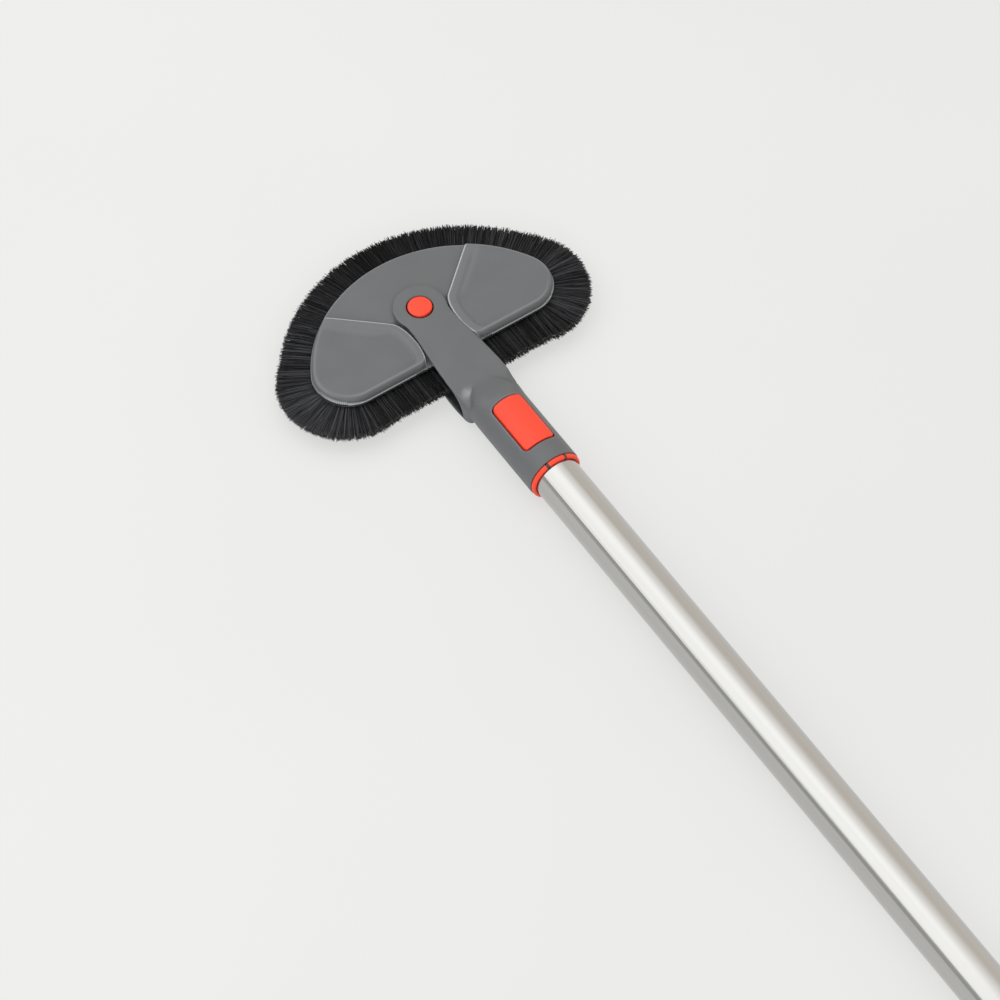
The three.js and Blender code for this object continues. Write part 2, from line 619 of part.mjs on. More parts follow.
class Helix extends THREE.Curve {
  constructor(r, low, high, turns, y) {
    super();
    Object.assign(this, { r, low, high, turns, y });
  }

  getPoint(t, target = new THREE.Vector3()) {
    const a = 2 * Math.PI * this.turns * t;
    const z = this.low + (this.high - this.low) * t;
    return target.set(this.r * Math.cos(a), this.y + this.r * Math.sin(a), z);
  }
}

function buttonSpring() {
  const low = PLUG_TOP_Z - PLUG_POCKET + FIT + SPRING_WIRE_R;
  const high = POLE_R - BUTTON_WALL - FIT - SPRING_WIRE_R;
  const wire = new THREE.Shape();
  wire.absarc(0, 0, SPRING_WIRE_R, 0, Math.PI * 2, false);
  const path = new Helix(SPRING_R, low, high, SPRING_TURNS, BUTTON_MIDDLE_Y);
  const coil = new THREE.ExtrudeGeometry(outline(wire, WIRE_STEPS), {
    steps: SPRING_TURNS * COIL_STEPS, bevelEnabled: false, extrudePath: path,
  });
  return solid(coil);
}

function poleTube() {
  const tube = turned(ring(POLE_BORE_R, POLE_R, GRIP_BACK_Y, POLE_FRONT_Y), POLE_STEPS);
  return tube.subtract(slab(buttonShape(BUTTON_GAP), 0, POLE_R + OVER));
}

// What is cut off the round grip and cap to make the flat that they lie on.
function belowGround() {
  return box(-2 * GRIP_R, 2 * GRIP_R, TAIL_Y - OVER, GRIP_FRONT_Y + OVER, -2 * GRIP_R, GROUND_Z);
}

function handGrip() {
  const inner = POLE_R + FIT;
  const neck = GRIP_R - GRIP_END_ROUND / 2;
  const neckRun = GRIP_LENGTH * GRIP_NECK_SHARE;
  const curve = new THREE.SplineCurve(points([[inner + GRIP_MOUTH, GRIP_FRONT_Y],
    [neck, GRIP_FRONT_Y - GRIP_END_ROUND], [neck, GRIP_FRONT_Y - neckRun],
    [GRIP_R, GRIP_FRONT_Y - GRIP_LENGTH / 2], [neck, GRIP_BACK_Y + neckRun],
    [GRIP_R, GRIP_BACK_Y + GRIP_END_ROUND], [GRIP_R, GRIP_BACK_Y]]));
  const outer = curve.getPoints(GRIP_STEPS).map((p) => [Math.min(p.x, GRIP_R), p.y]);
  const grip = turned([[inner, GRIP_FRONT_Y], ...outer, [inner, GRIP_BACK_Y], [inner, GRIP_FRONT_Y]]);
  return grip.subtract(belowGround());
}

// End cap with a flat tab and a hole to hang the brush by.
function hangingCap() {
  const plugR = POLE_BORE_R - FIT;
  const cap = turned([[0, CAP_FRONT_Y + CAP_SPIGOT], [plugR, CAP_FRONT_Y + CAP_SPIGOT], [plugR, CAP_FRONT_Y],
    [GRIP_R, CAP_FRONT_Y], [GRIP_R, CAP_BACK_Y + CAP_CHAMFER], [GRIP_R - CAP_CHAMFER, CAP_BACK_Y],
    [0, CAP_BACK_Y]]);
  const tabHalf = GRIP_R - TAB_INSET;
  const tab = slab(roundedRect(-tabHalf, tabHalf, TAIL_Y, CAP_FRONT_Y + BEYOND, tabHalf),
    -TAB_THICK / 2, TAB_THICK / 2, TAB_ROUND, CURVE_STEPS, 1);
  const front = box(-GRIP_R, GRIP_R, CAP_BACK_Y + SINK, CAP_FRONT_Y + BEYOND + OVER, -TAB_THICK, TAB_THICK);
  const hole = upright(rod(HANG_HOLE_R, -TAB_THICK, TAB_THICK), 0, TAIL_Y + tabHalf);
  return cap.add(tab.subtract(front)).subtract(hole).subtract(belowGround());
}

function pivotAxle() {
  return upright(ring(STEM_R + FIT, AXLE_R, PRONG_BOTTOM, PIVOT_SEAT_Z));
}

function pivotButton() {
  const top = TONGUE_TOP + PIVOT_BUTTON_PROUD;
  const low = top - PIVOT_BUTTON_THICK;
  const foot = PRONG_BOTTOM - FIT;
  const body = upright([[0, foot], [STEM_R, foot], [STEM_R, low], [PIVOT_BUTTON_R, low],
    [PIVOT_BUTTON_R, top - PIVOT_BUTTON_ROUND],
    [PIVOT_BUTTON_R - PIVOT_BUTTON_ROUND, top - PIVOT_BUTTON_CROWN], [0, top]]);
  return body.subtract(upright(rod(CLAMP_SHANK_R + FIT, foot - OVER, foot + CLAMP_SHANK + FIT)));
}

// Coned spring washer between the axle's top and the pivot button.
function pivotSpring() {
  const low = PIVOT_SEAT_Z + FIT;
  const high = TONGUE_TOP + PIVOT_BUTTON_PROUD - PIVOT_BUTTON_THICK - FIT;
  const hole = STEM_R + FIT;
  return upright([[DISC_SPRING_R, low], [DISC_SPRING_R, low + DISC_SPRING_THICK], [hole, high],
    [hole, high - DISC_SPRING_THICK], [DISC_SPRING_R, low]]);
}

const WASHER_TOP = PRONG_BOTTOM - 2 * FIT;
const WASHER_LOW = WASHER_TOP - WASHER_THICK;

function clampWasher() {
  return upright(ring(CLAMP_SHANK_R + FIT, WASHER_R, WASHER_LOW, WASHER_TOP));
}

function clampScrew() {
  const top = PRONG_BOTTOM - FIT + CLAMP_SHANK;
  const neck = WASHER_LOW - FIT;
  const low = neck - CLAMP_HEAD_THICK;
  const body = upright([[0, low], [CLAMP_HEAD_R - CLAMP_CHAMFER, low],
    [CLAMP_HEAD_R, low + CLAMP_CHAMFER], [CLAMP_HEAD_R, neck], [CLAMP_SHANK_R, neck],
    [CLAMP_SHANK_R, top], [0, top]]);
  const half = CLAMP_SLOT / 2;
  const slot = box(-CLAMP_HEAD_R, CLAMP_HEAD_R, -half, half, low - OVER, low + CLAMP_HEAD_THICK / 2);
  return body.subtract(slot);
}

function bufferOf(piece) {
  const mesh = piece.getMesh();
  const geometry = new THREE.BufferGeometry();
  geometry.setAttribute('position', new THREE.BufferAttribute(new Float32Array(mesh.vertProperties), 3));
  geometry.setIndex(new THREE.BufferAttribute(new Uint32Array(mesh.triVerts), 1));
  geometry.computeVertexNormals();
  return geometry;
}

// Materials
const FINISHES = {
  greyPlastic: { color: '#76797c', roughness: 0.5, metalness: 0 },
  redPlastic: { color: '#f4553f', roughness: 0.4, metalness: 0 },
  blackNylon: { color: '#17181a', roughness: 0.6, metalness: 0 },
  aluminium: { color: '#c9c8c4', roughness: 0.32, metalness: 1 },
  steel: { color: '#9a9a98', roughness: 0.35, metalness: 1 },
  greyRubber: { color: '#4c4f52', roughness: 0.8, metalness: 0 },
};

function node(name, piece, finish) {
  const mesh = new THREE.Mesh(bufferOf(piece), new THREE.MeshStandardMaterial(FINISHES[finish]));
  mesh.name = name;
  return mesh;
}

// Assembly
const head = new THREE.Group();
head.add(node('upper_shell', upperShell(), 'greyPlastic'));
head.add(node('lower_shell', lowerShell(), 'greyPlastic'));
head.add(node('head_bush', headBush(), 'steel'));
head.add(node('bristles_near_left', fringe(-1, false), 'blackNylon'));
head.add(node('bristles_near_right', fringe(1, false), 'blackNylon'));
head.add(node('bristles_far_left', fringe(-1, true), 'blackNylon'));
head.add(node('bristles_far_right', fringe(1, true), 'blackNylon'));
SCREWS.forEach((screw, i) => {
  head.add(node(`shell_screw_${i + 1}`, shellScrew(screw), 'steel'));
});

const arm = new THREE.Group();
arm.add(node('arm_fork', armFork(), 'greyPlastic'));
arm.add(node('pivot_axle', pivotAxle(), 'steel'));
arm.add(node('pivot_spring', pivotSpring(), 'steel'));
arm.add(node('collet_ring', colletRing(), 'redPlastic'));

const pivotLock = new THREE.Group();
pivotLock.add(node('pivot_button', pivotButton(), 'redPlastic'));
pivotLock.add(node('clamp_washer', clampWasher(), 'steel'));
pivotLock.add(node('clamp_screw', clampScrew(), 'steel'));

const pole = new THREE.Group();
pole.add(node('pole_tube', poleTube(), 'aluminium'));
pole.add(node('pole_plug', polePlug(), 'greyPlastic'));
pole.add(node('button_spring', buttonSpring(), 'steel'));
pole.add(node('release_button', releaseButton(), 'redPlastic'));
pole.add(node('hand_grip', handGrip(), 'greyRubber'));
pole.add(node('hanging_cap', hangingCap(), 'redPlastic'));

const tileBrush = new THREE.Group();
tileBrush.add(head, arm, pivotLock, pole);
tileBrush.position.set(0, -MIDDLE_Y, -GROUND_Z);

export default tileBrush;
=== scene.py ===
import json
import math

import bmesh
import bpy
import numpy as np
import openvdb
from mathutils import Matrix, Vector
from mathutils.geometry import delaunay_2d_cdt


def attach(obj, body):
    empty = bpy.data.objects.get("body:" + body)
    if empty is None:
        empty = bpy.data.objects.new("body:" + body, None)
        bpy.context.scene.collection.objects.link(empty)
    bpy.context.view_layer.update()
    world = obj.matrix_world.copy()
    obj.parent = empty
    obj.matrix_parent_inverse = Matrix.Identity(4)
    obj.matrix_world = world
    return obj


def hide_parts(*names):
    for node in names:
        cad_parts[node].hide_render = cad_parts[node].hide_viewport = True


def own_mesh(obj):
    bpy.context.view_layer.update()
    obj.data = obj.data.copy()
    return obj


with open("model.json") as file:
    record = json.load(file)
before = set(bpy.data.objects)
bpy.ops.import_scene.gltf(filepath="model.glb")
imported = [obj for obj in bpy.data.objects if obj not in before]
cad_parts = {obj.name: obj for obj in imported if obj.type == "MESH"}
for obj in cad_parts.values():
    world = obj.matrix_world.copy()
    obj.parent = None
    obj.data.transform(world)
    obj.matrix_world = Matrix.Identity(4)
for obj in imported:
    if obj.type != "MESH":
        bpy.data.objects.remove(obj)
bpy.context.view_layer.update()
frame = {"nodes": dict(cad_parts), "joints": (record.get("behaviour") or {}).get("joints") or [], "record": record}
record = frame["record"]
BODY_OF = {node: body for body, nodes in record["behaviour"]["bodies"].items() for node in nodes}
SLOT_OF = {part["node"]: part["material_slot"] for part in record["subparts"]}
PIVOT = Vector(next(j for j in frame["joints"] if j["name"] == "head_swivel")["pos_m"])
RANDOM = np.random.default_rng(7)

# Sizes in millimetres, from the pivot's axis (x = y = 0) and the pole's axis (z = 0)
MM = 0.001
GROUND_Z = -PIVOT.z / MM

# Head outline: a wide far arc, two round corners and a straight near edge
ARC_R = 79.2
FAR_Y = 38.0
EDGE_Y = -32.5
CORNER_R = 19.7
ARC_Y = FAR_Y - ARC_R
CORNER_Y = EDGE_Y + CORNER_R
CORNER_X = math.sqrt((ARC_R - CORNER_R) ** 2 - (CORNER_Y - ARC_Y) ** 2)
CORNER_TURN = math.atan2(CORNER_Y - ARC_Y, CORNER_X)
CORNER_LENGTH = CORNER_R * (CORNER_TURN + math.pi / 2)
HALF_LENGTH = CORNER_X + CORNER_LENGTH + ARC_R * (math.pi / 2 - CORNER_TURN)

# Head levels
BASE_TOP = 0.9
BASE_BOTTOM = -2.2
BASE_ROUND = 1.3
BUSH_HOLE_R = 6.9
HUB_CLEAR_R = 10.3
FAN_RISE = 2.1
FAN_FOOT_R = 40.0
FAN_CURVE = 1.3
FAN_START_Y = -2.0  # the fan rises from here, over the run below
FAN_START_RUN = 4.0
WING_TOP = 3.9
WING_ROUND = 2.9
WING_SIDE_ROUND = 0.9
WING_INSET = 0.5  # from the rim to the foot of the wing
NEAR_RUN = 2.5  # plan width of the sloped wall along the near edge
NEAR_SLOPE = 0.6  # share of that wall's fall that is straight
LIP_WIDTH = 4.2  # level band inside the wing's edge
DISH_DEPTH = 1.0
DISH_RUN = 1.9
DISH_FADE = 0.75  # share of the dish that levels out again over the run below
DISH_FADE_RUN = 34.0
DISH_NEAR_GAP = 0.8
DISH_RIM_RUN = 10.0
DISH_NEAR_RUN = 4.0

# Wing edge beside the arm and along the fan
LOBE = np.array([13.1, -17.0])
LOBE_NEAR = np.array([16.6, EDGE_Y])
LOBE_FAR = np.array([15.6, -1.6])
LOBE_CORNER = 3.5
LOBE_STEPS = (34, 26)  # far and near of the lobe's middle
FAN_BEND = 3.0
FAN_ANGLE = math.radians(41.2)
FAN_LENGTH = 80.0  # passes the rim
FAN_STEPS = 100
NEAR_OVERRUN = 6  # points past the near edge, 1 mm apart
FIELD_X = 200.0  # the field closes the wing's edge far outside the head
FIELD_Y = -90.0

# Mesh of the head's shell: rows of points where it bends, a fine patch at each lobe, a plain grid elsewhere
OUTLINE_PITCH = 1.0
RIM_ROWS = (0.06, 0.2, 0.48, 0.53, 0.62, 0.8, 1.1, 1.5, 2.0, 2.6, 3.2, 3.6, 3.7, 3.8, 4.3, 5.5, 6.6, 7.8,
            8.6, 9.4, 10.4)
WING_ROWS = (-2, -1, -0.4, -0.015, 0.015, 0.08, 0.2, 0.4, 0.65, 0.95, 1.5, 2.8, 4.4, 5.2, 6, 6.8, 7.6)
HUB_ROWS = (8.5, HUB_CLEAR_R - 0.02, HUB_CLEAR_R + 0.02, 12)
ROW_SLACK = 0.004  # drops the points of a row that come close to another part of the edge
ROW_SLACK_SHARE = 0.02
ROW_GAP = 0.1
HOLE_STEPS = 72
LOBE_PATCH = ((13, 24), (-32, -22))
LOBE_PITCH = 0.5
GRID = ((-72, 73), (-34, 40))
GRID_PITCH = 2.4
GRID_FROM_RIM = 11.2
GRID_FROM_WING = (-2.6, 8.4)
GRID_FROM_HUB = 13.0
UNDER_STEPS = 4
HOLE_INSIDE = 0.998
HOLE_BESIDE = 1.1
RIM_SLACK = 0.001
WELD = 1e-5

# Painted light on the head's shell: place, width and strength of each painted highlight along an edge or band, and
# of each painted shade in a groove, at a foot or down a wall
BROW = (0.45, 0.35, 0.6)
BROW_RIM = (0.4, 0.8)  # starts this far from the rim, over this run
RIDGE = (0.0, 0.5, 0.12)
LIP = (0.2, 0.17, 1.0)
LIP_LEAST = 0.35
LIP_CORNER = 0.8
FAR_LIP_WING = (2.0, 0.7)
FAR_LIP_FAN = (0.8, 0.35)
FAR_LIP_TONE = 0.07
BAND_TONE = 0.03
BAND_EDGE = 0.6
BAND_RIM = (0.5, 2.0)  # starts this far from the rim, over this run
BAND_WIDER = 3.0
BAND_WIDER_X = (18.0, 12.0)  # starts at this x, over this run
GROOVE = (0.75, 0.2, 0.5)
FOOT = (-0.25, 0.25, 0.2)
FOOT_RIM = 1.0
WALL_TONE = 0.5
RIM_LINE = 0.03
RAISED_BY = 0.3

# Bristle fringe: the rim's length from its near middle, strand lengths past the rim, and levels
STRAND_REACH = 16.1
CORNER_REACH = 2.9
CORNER_MIDDLE = 77.0
CORNER_RUN = 29.0
STRAND_ROOT = -1.6
STRAND_R = 0.15
STRAND_SIDES = 3
STRAND_RINGS = ((0.0, 1.1), (0.5, 1.0), (0.96, 0.9), (1.0, 0.85))  # share of length, thickness
STRANDS_PER_MM = 26
CORNER_CROWD = 0.9  # extra strands round the corners
CROWD_STEPS = 400
FRINGE_TOP = -2.75
FRINGE_BOTTOM = -4.45
TIP_TOP = -2.9
TIP_BOTTOM = -6.5
TIP_CURVE = 1.3
CORE_SHARE = 0.84
CORE_HALF = 0.7
CORE_FALL = 0.7  # share of the tips' fall

# Scatter of the strands, one by one and in clumps: lean in radians, lengths in millimetres
PLACE_SPREAD = (0.1, 0.9)
CLUMP = 0.9
CLUMP_LEAN = 0.007
STRAND_LEAN = 0.025
CLUMP_SHORT = 0.15
STRAND_SHORT = 0.4
RAGGED = 1.6
RAGGED_POWER = 4
LONGEST = 1.5  # reach of the longest strands past the plain one
NEAR_UNEVEN = 0.5
TIP_SCATTER = 0.16
DROOP = 0.25

# Tone of the strands, with painted sheen: palest at the head's two ends, a little paler near than far
TONE_ALL = 0.28
TONE_NEAR = 0.14
TONE_SIDES = 0.75
TONE_LEFT = 0.12  # the left end is paler by this, the right end darker
TONE_LEAST = 0.1
TONE_SPREAD = 0.62
TONE_POWER = 2.5

# Forked arm
TONGUE_END_R = 14.5
TONGUE_LEAVE = math.radians(24)
TONGUE_TOP = 5.4
TONGUE_LOW = 4.2
WAIST_X = 11.4
ARM_HALF = 16.0
ARM_TAPER = 1.0
ARM_CORNER = 6.5
ARM_ROUND = 0.9
ARM_WIDE_SHARE = 0.8
HEEL_STEPS = 12
FLANK_STEPS = 30
END_STEPS = 60
SHOULDER_ROUND = 4.0
HEEL_ROUND = 2.2
SETTLE_Y = -57.0  # the edges grow rounder from here, over the run below
SETTLE_RUN = 7.0
FORK_ROOT_Y = -64.0
FORK_BACK_Y = -70.0
FORK_FILLET = 0.6
PRONG_TOP = -6.9
PRONG_BOTTOM = -9.2
SLOT_RUN = 13.0
SLOT_EASE = 0.5
SPINE_HALF = 3.4
HUB_R = 10.0
HUB_LOW = 1.2
SPINE_SINK = 0.5  # overlap of spine and hub with the tongue
SPINE_ROUND = 0.1
PIVOT_WELL_R = 7.1
PIVOT_SEAT_Z = 2.0
WELL_EASE = 0.5
AXLE_HOLE_R = 4.9
HOLE_EASE = 0.2

# Socket: its nose is a flat oval, its body a round tube
SOCKET_R = 14.8
SOCKET_MOUTH_Y = -123.6
SOCKET_STOP_Y = -77.0
MOUTH_ROUND = 0.6
NOSE_Y = -53.0
NOSE_END_Y = -79.0
NOSE_HALF = 6.0
NOSE_RUN = 19.0
NOSE_DEPTH = 6.0
NOSE_SINK = 0.2  # keeps the nose inside the fork
NOSE_POWER = 5
ROUND_POWER = 2
BORE_R = 12.8
BORE_EASE = 0.3
COLLET_BORE_R = 13.9
COLLET_STEP_Y = -114.3
BUTTON_HALF = 8.6
BUTTON_FRONT_Y = -79.6
BUTTON_BACK_Y = -111.0
BUTTON_CORNER = 2.6
BUTTON_BOW = 0.3
BUTTON_GAP = 0.6
BUTTON_STEPS = 8
WINDOW_EASE = 0.9

# Sampling of the arm's form
VOXEL = 0.45
ARM_BOX = ((-18.9, 18.91), (-126.0, 17.0), (-17.1, 17.11))
SKIN = 3 * VOXEL  # distances further from the surface than this are all alike
FLATNESS = 0.02
BEYOND = 20.0  # clear of the arm, above and below
TINY = 1e-3  # keeps a division away from zero

# Painted light on the arm: a painted highlight on a facet of its left shoulder and round the button's window,
# painted shade inside the slot
FACET_FROM = np.array([-5.8, -58.4])
FACET_TO = np.array([-9.0, -61.3])
FACET_EDGE = 0.4
FACET_WIDTH = 2.6
FACET_FADE = 3.2
FACET_ALONG = (4.8, 3.0, 0.21)
FACET_ABOVE = 2.0  # only above this level
WINDOW_EDGE = (0.5, 0.35, 0.06)
WINDOW_ABOVE = 8.0  # only above this level
SLOT_DARK = 0.95
SLOT_MARGIN = 0.2
SLOT_MARGIN_TOP = 0.1
SLOT_MARGIN_BACK = 0.4

# Painted shade in the collet's slots: a dark sleeve under them and a dark key in each
SHADE_SLEEVE_R = 12.74
SHADE_SLEEVE_INNER_R = 12.56
SHADE_SLEEVE_FRONT_Y = -114.8
SHADE_SLEEVE_BACK_Y = -125.8
SHADE_SLEEVE_STEPS = 72
SHADE_KEY_R = (12.7, 14.1)
SHADE_KEY_HALF = 0.72
SHADE_KEY_Y = (-125.9, -124.0)
COLLET_SLOT_ANGLE = math.radians(22.5)

# Grip: places along it are shares of its length from the front
GRIP_INNER_R = 12.8
GRIP_R = 16.4
GRIP_NECK_R = 14.9
GRIP_FRONT_Y = -562.1
GRIP_BACK_Y = -684.1
GRIP_ROWS = 260
GRIP_STEPS = 96
SWELL_FROM = 0.12
SWELL_RUN = 0.7
SWELL_CURVE = 1.5
COLLAR_FROM = 0.88
COLLAR_RUN = 0.08
FRONT_ROUND = 1.6
FRONT_RUN = 0.02
BACK_ROUND = 0.6
BACK_RUN = 0.008
RIB_COUNT = 13
RIB_DEPTH = 0.6
RIB_FROM = 0.16
RIB_TO = 0.8
RIB_FADE = 0.03
RIB_SHARP = 2.5
RIB_CUT = 1.2

# Edge rounds of the pieces that keep their CAD form
EDGE_ROUNDS = {
    "pivot_button": 0.55, "release_button": 0.45, "collet_ring": 0.25, "hanging_cap": 0.5,
    "lower_shell": 0.3, "pole_tube": 0.15, "pole_plug": 0.3, "head_bush": 0.2,
    "pivot_axle": 0.2, "clamp_washer": 0.25, "clamp_screw": 0.15,
    **{f"shell_screw_{number}": 0.15 for number in range(1, 6)},
}
EDGE_ANGLE = math.radians(35)
FLAT_ANGLE = math.radians(0.5)
WELD_M = 1e-6

# Material detail: noise is counted in ripples per metre, bump depths are in metres
NOISE_MIDDLE = (0.3, 0.7)
CLOUD = (60, 60, 60)
GLOSS_SPREAD = 0.05
LINE_GLOSS = 0.06
GRAIN_BUMP = 0.35
LINE_BUMP = 0.1
LINE_DEPTH = 0.00002
# Factor that painted shade darkens a colour by
PAINTED_SHADE_FACTOR = 0.1
NYLON_DARK = (0.002, 0.002, 0.002)
NYLON_LIGHT = (0.145, 0.148, 0.16)
NYLON_END = (0.14, 0.135, 0.13)
NYLON_ROUGH = 0.5
NYLON_SHINE = 0.12
MIX_SHARE, MIX_FIRST, MIX_SECOND, MIX_RESULT = 0, 6, 7, 2  # sockets of a Mix node for colours

# Stage, light and camera, in metres
FLOOR_Z = -0.0001
FLOOR_HALF = 4.0
FLOOR_CLOUD = (3, 3, 3)
FLOOR_DARK = (0.80, 0.80, 0.79)
FLOOR_LIGHT = (0.82, 0.82, 0.81)
FLOOR_ROUGH = 0.9
FLOOR_SHINE = 0.1
FLOOR_GLOW = 0.72  # share of its own tone that the floor shows
SURROUND = (0.52, 0.92)  # levels on the left and on the right
COOL = (0.98, 0.99, 1.0)
WARM = (1.0, 0.94, 0.86)
WARM_FROM_TO = (-0.2, 0.8)
FILL_SPOT = Vector((-0.9, -1.1, 0.9))
FILL_TARGET = Vector((0, 0.33, 0))
FILL_SIZE = (1.2, 1.2)
FILL_RADIANCE = 2.1
BOX_SPOT = Vector((-0.38, 0.87, 1.0))
BOX_TARGET = Vector((-0.38, 0.87, 0))
BOX_SIZE = (3.16, 1.5)
BOX_RADIANCE = 1.1
BOX_FADE = (0.576, 1.0)  # shares of the light's width
BOX_FADE_CURVE = 1.6
AZIMUTH = math.radians(-34.401)
ELEVATION = math.radians(55.223)
ROLL = math.radians(0.346)
DISTANCE = 2.1274
SHIFT_RIGHT = 0.041753
SHIFT_UP = -0.097479
SENSOR_MM = 36
FOCAL_PX = 4080.7
PICTURE_PX = 1000


# Shader nodes
def new_material(name):
    material = bpy.data.materials.new(name)
    material.use_nodes = True
    nodes = material.node_tree.nodes
    return material, nodes, material.node_tree.links, nodes["Principled BSDF"]


def noise(nodes, links, ripples, detail=3.0):
    """Noise over the piece's own coordinates, with `ripples` per metre along each axis."""
    place = nodes.new("ShaderNodeTexCoord")
    mapping = nodes.new("ShaderNodeMapping")
    mapping.inputs["Scale"].default_value = ripples
    texture = nodes.new("ShaderNodeTexNoise")
    texture.inputs["Scale"].default_value = 1.0
    texture.inputs["Detail"].default_value = detail
    links.new(place.outputs["Object"], mapping.inputs["Vector"])
    links.new(mapping.outputs["Vector"], texture.inputs["Vector"])
    return texture.outputs["Fac"]


def mapped(nodes, links, value, source, target):
    """`value` carried from the range `source` to the range `target`."""
    span = nodes.new("ShaderNodeMapRange")
    for label, limit in zip(("From Min", "From Max", "To Min", "To Max"), (*source, *target)):
        span.inputs[label].default_value = limit
    links.new(value, span.inputs["Value"])
    return span.outputs["Result"]


def worked(nodes, links, operation, first, second):
    """A Math node on a socket and either a second socket or a plain number."""
    node = nodes.new("ShaderNodeMath")
    node.operation = operation
    links.new(first, node.inputs[0])
    if isinstance(second, float):
        node.inputs[1].default_value = second
    else:
        links.new(second, node.inputs[1])
    return node.outputs[0]


def tinted(nodes, links, share, first, second):
    """The colour or socket `first`, turning into the colour `second` as `share` goes from 0 to 1."""
    mix = nodes.new("ShaderNodeMix")
    mix.data_type = "RGBA"
    if isinstance(first, tuple):
        mix.inputs[MIX_FIRST].default_value = (*first, 1)
    else:
        links.new(first, mix.inputs[MIX_FIRST])
    mix.inputs[MIX_SECOND].default_value = (*second, 1)
    links.new(share, mix.inputs[MIX_SHARE])
    return mix.outputs[MIX_RESULT]


def mesh_value(nodes, label):
    """The value that add_values() put on the mesh's points under this name."""
    node = nodes.new("ShaderNodeAttribute")
    node.attribute_name = label
    return node.outputs["Fac"]


def bumped(nodes, links, shader, height, strength, depth):
    """Gives a shader's surface the relief of a pattern."""
    bump = nodes.new("ShaderNodeBump")
    bump.inputs["Strength"].default_value = strength
    bump.inputs["Distance"].default_value = depth
    links.new(height, bump.inputs["Height"])
    links.new(bump.outputs["Normal"], shader.inputs["Normal"])


def shaded(colour, factor):
    """A colour made darker or lighter."""
    return tuple(min(c * factor, 1) for c in colour)


# Materials
def moulded(name, colour, vary, rough, grain, depth, edge=1.0):
    """Moulded plastic or rubber: faint cloudy tone, painted highlights on edges, painted shade in recesses and a
    fine surface grain.
    """
    material, nodes, links, shader = new_material(name)
    cloud = mapped(nodes, links, noise(nodes, links, CLOUD), NOISE_MIDDLE, (0, 1))
    tone = tinted(nodes, links, cloud, shaded(colour, 1 - vary), shaded(colour, 1 + vary))
    # Painted highlight along edges, as strong as the mesh's edge value
    tone = tinted(nodes, links, mesh_value(nodes, "edge"), tone, shaded(colour, edge))
    # Painted shade in recesses and gaps, as strong as the mesh's shade value
    tone = tinted(nodes, links, mesh_value(nodes, "painted_shade"), tone, shaded(colour, PAINTED_SHADE_FACTOR))
    links.new(tone, shader.inputs["Base Color"])
    fine = noise(nodes, links, (grain,) * 3)
    gloss = mapped(nodes, links, fine, NOISE_MIDDLE, (rough - GLOSS_SPREAD, rough + GLOSS_SPREAD))
    links.new(gloss, shader.inputs["Roughness"])
    bumped(nodes, links, shader, fine, GRAIN_BUMP, depth)
    return material


def metal(name, colour, vary, rough, ripples):
    """Drawn metal: lines in both tone and gloss, along the axis with the fewest ripples."""
    material, nodes, links, shader = new_material(name)
    shader.inputs["Metallic"].default_value = 1
    lines = noise(nodes, links, ripples, detail=4.0)
    share = mapped(nodes, links, lines, NOISE_MIDDLE, (0, 1))
    tone = tinted(nodes, links, share, shaded(colour, 1 - vary), shaded(colour, 1 + vary))
    links.new(tone, shader.inputs["Base Color"])
    gloss = mapped(nodes, links, lines, NOISE_MIDDLE, (rough - GLOSS_SPREAD, rough + LINE_GLOSS))
    links.new(gloss, shader.inputs["Roughness"])
    bumped(nodes, links, shader, lines, LINE_BUMP, LINE_DEPTH)
    return material


def nylon(name):
    """Black strands: each a little different in tone, with painted sheen by the way it points, and paler cut ends.
    """
    material, nodes, links, shader = new_material(name)
    tone = tinted(nodes, links, mesh_value(nodes, "tone"), NYLON_DARK, NYLON_LIGHT)
    tone = tinted(nodes, links, mesh_value(nodes, "end"), tone, NYLON_END)
    links.new(tone, shader.inputs["Base Color"])
    shader.inputs["Roughness"].default_value = NYLON_ROUGH
    shader.inputs["Specular IOR Level"].default_value = NYLON_SHINE
    return material


MATERIALS = {
    # The grey's edges take a painted highlight of up to seven times its tone
    "grey_plastic": moulded("moulded_grey", (0.117, 0.122, 0.127), vary=0.04, rough=0.46,
                            grain=2600, depth=0.00006, edge=7.0),
    "red_plastic": moulded("moulded_red", (0.90, 0.055, 0.017), vary=0.03, rough=0.5,
                           grain=2200, depth=0.00003),
    "black_bristle": nylon("black_nylon"),
    "aluminium": metal("drawn_aluminium", (0.51, 0.505, 0.49), vary=0.035, rough=0.13,
                       ripples=(700, 3, 700)),
    "steel": metal("plated_steel", (0.42, 0.42, 0.41), vary=0.06, rough=0.34,
                   ripples=(700, 700, 120)),
    "grey_rubber": moulded("grip_rubber", (0.055, 0.057, 0.06), vary=0.08, rough=0.7,
                           grain=1800, depth=0.0001),
}


# Building pieces
def in_scene(name, data):
    obj = bpy.data.objects.new(name, data)
    bpy.context.scene.collection.objects.link(obj)
    return obj


def smooth_piece(name, mesh, sharp):
    mesh.shade_smooth()
    mesh.set_sharp_from_angle(angle=sharp)
    return in_scene(name, mesh)


def dress(obj, body, slot, node):
    """Gives a finished mesh its material and its place in the frame."""
    obj.data.materials.clear()
    obj.data.materials.append(MATERIALS[slot])
    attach(obj, body)
    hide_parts(node)
    return obj


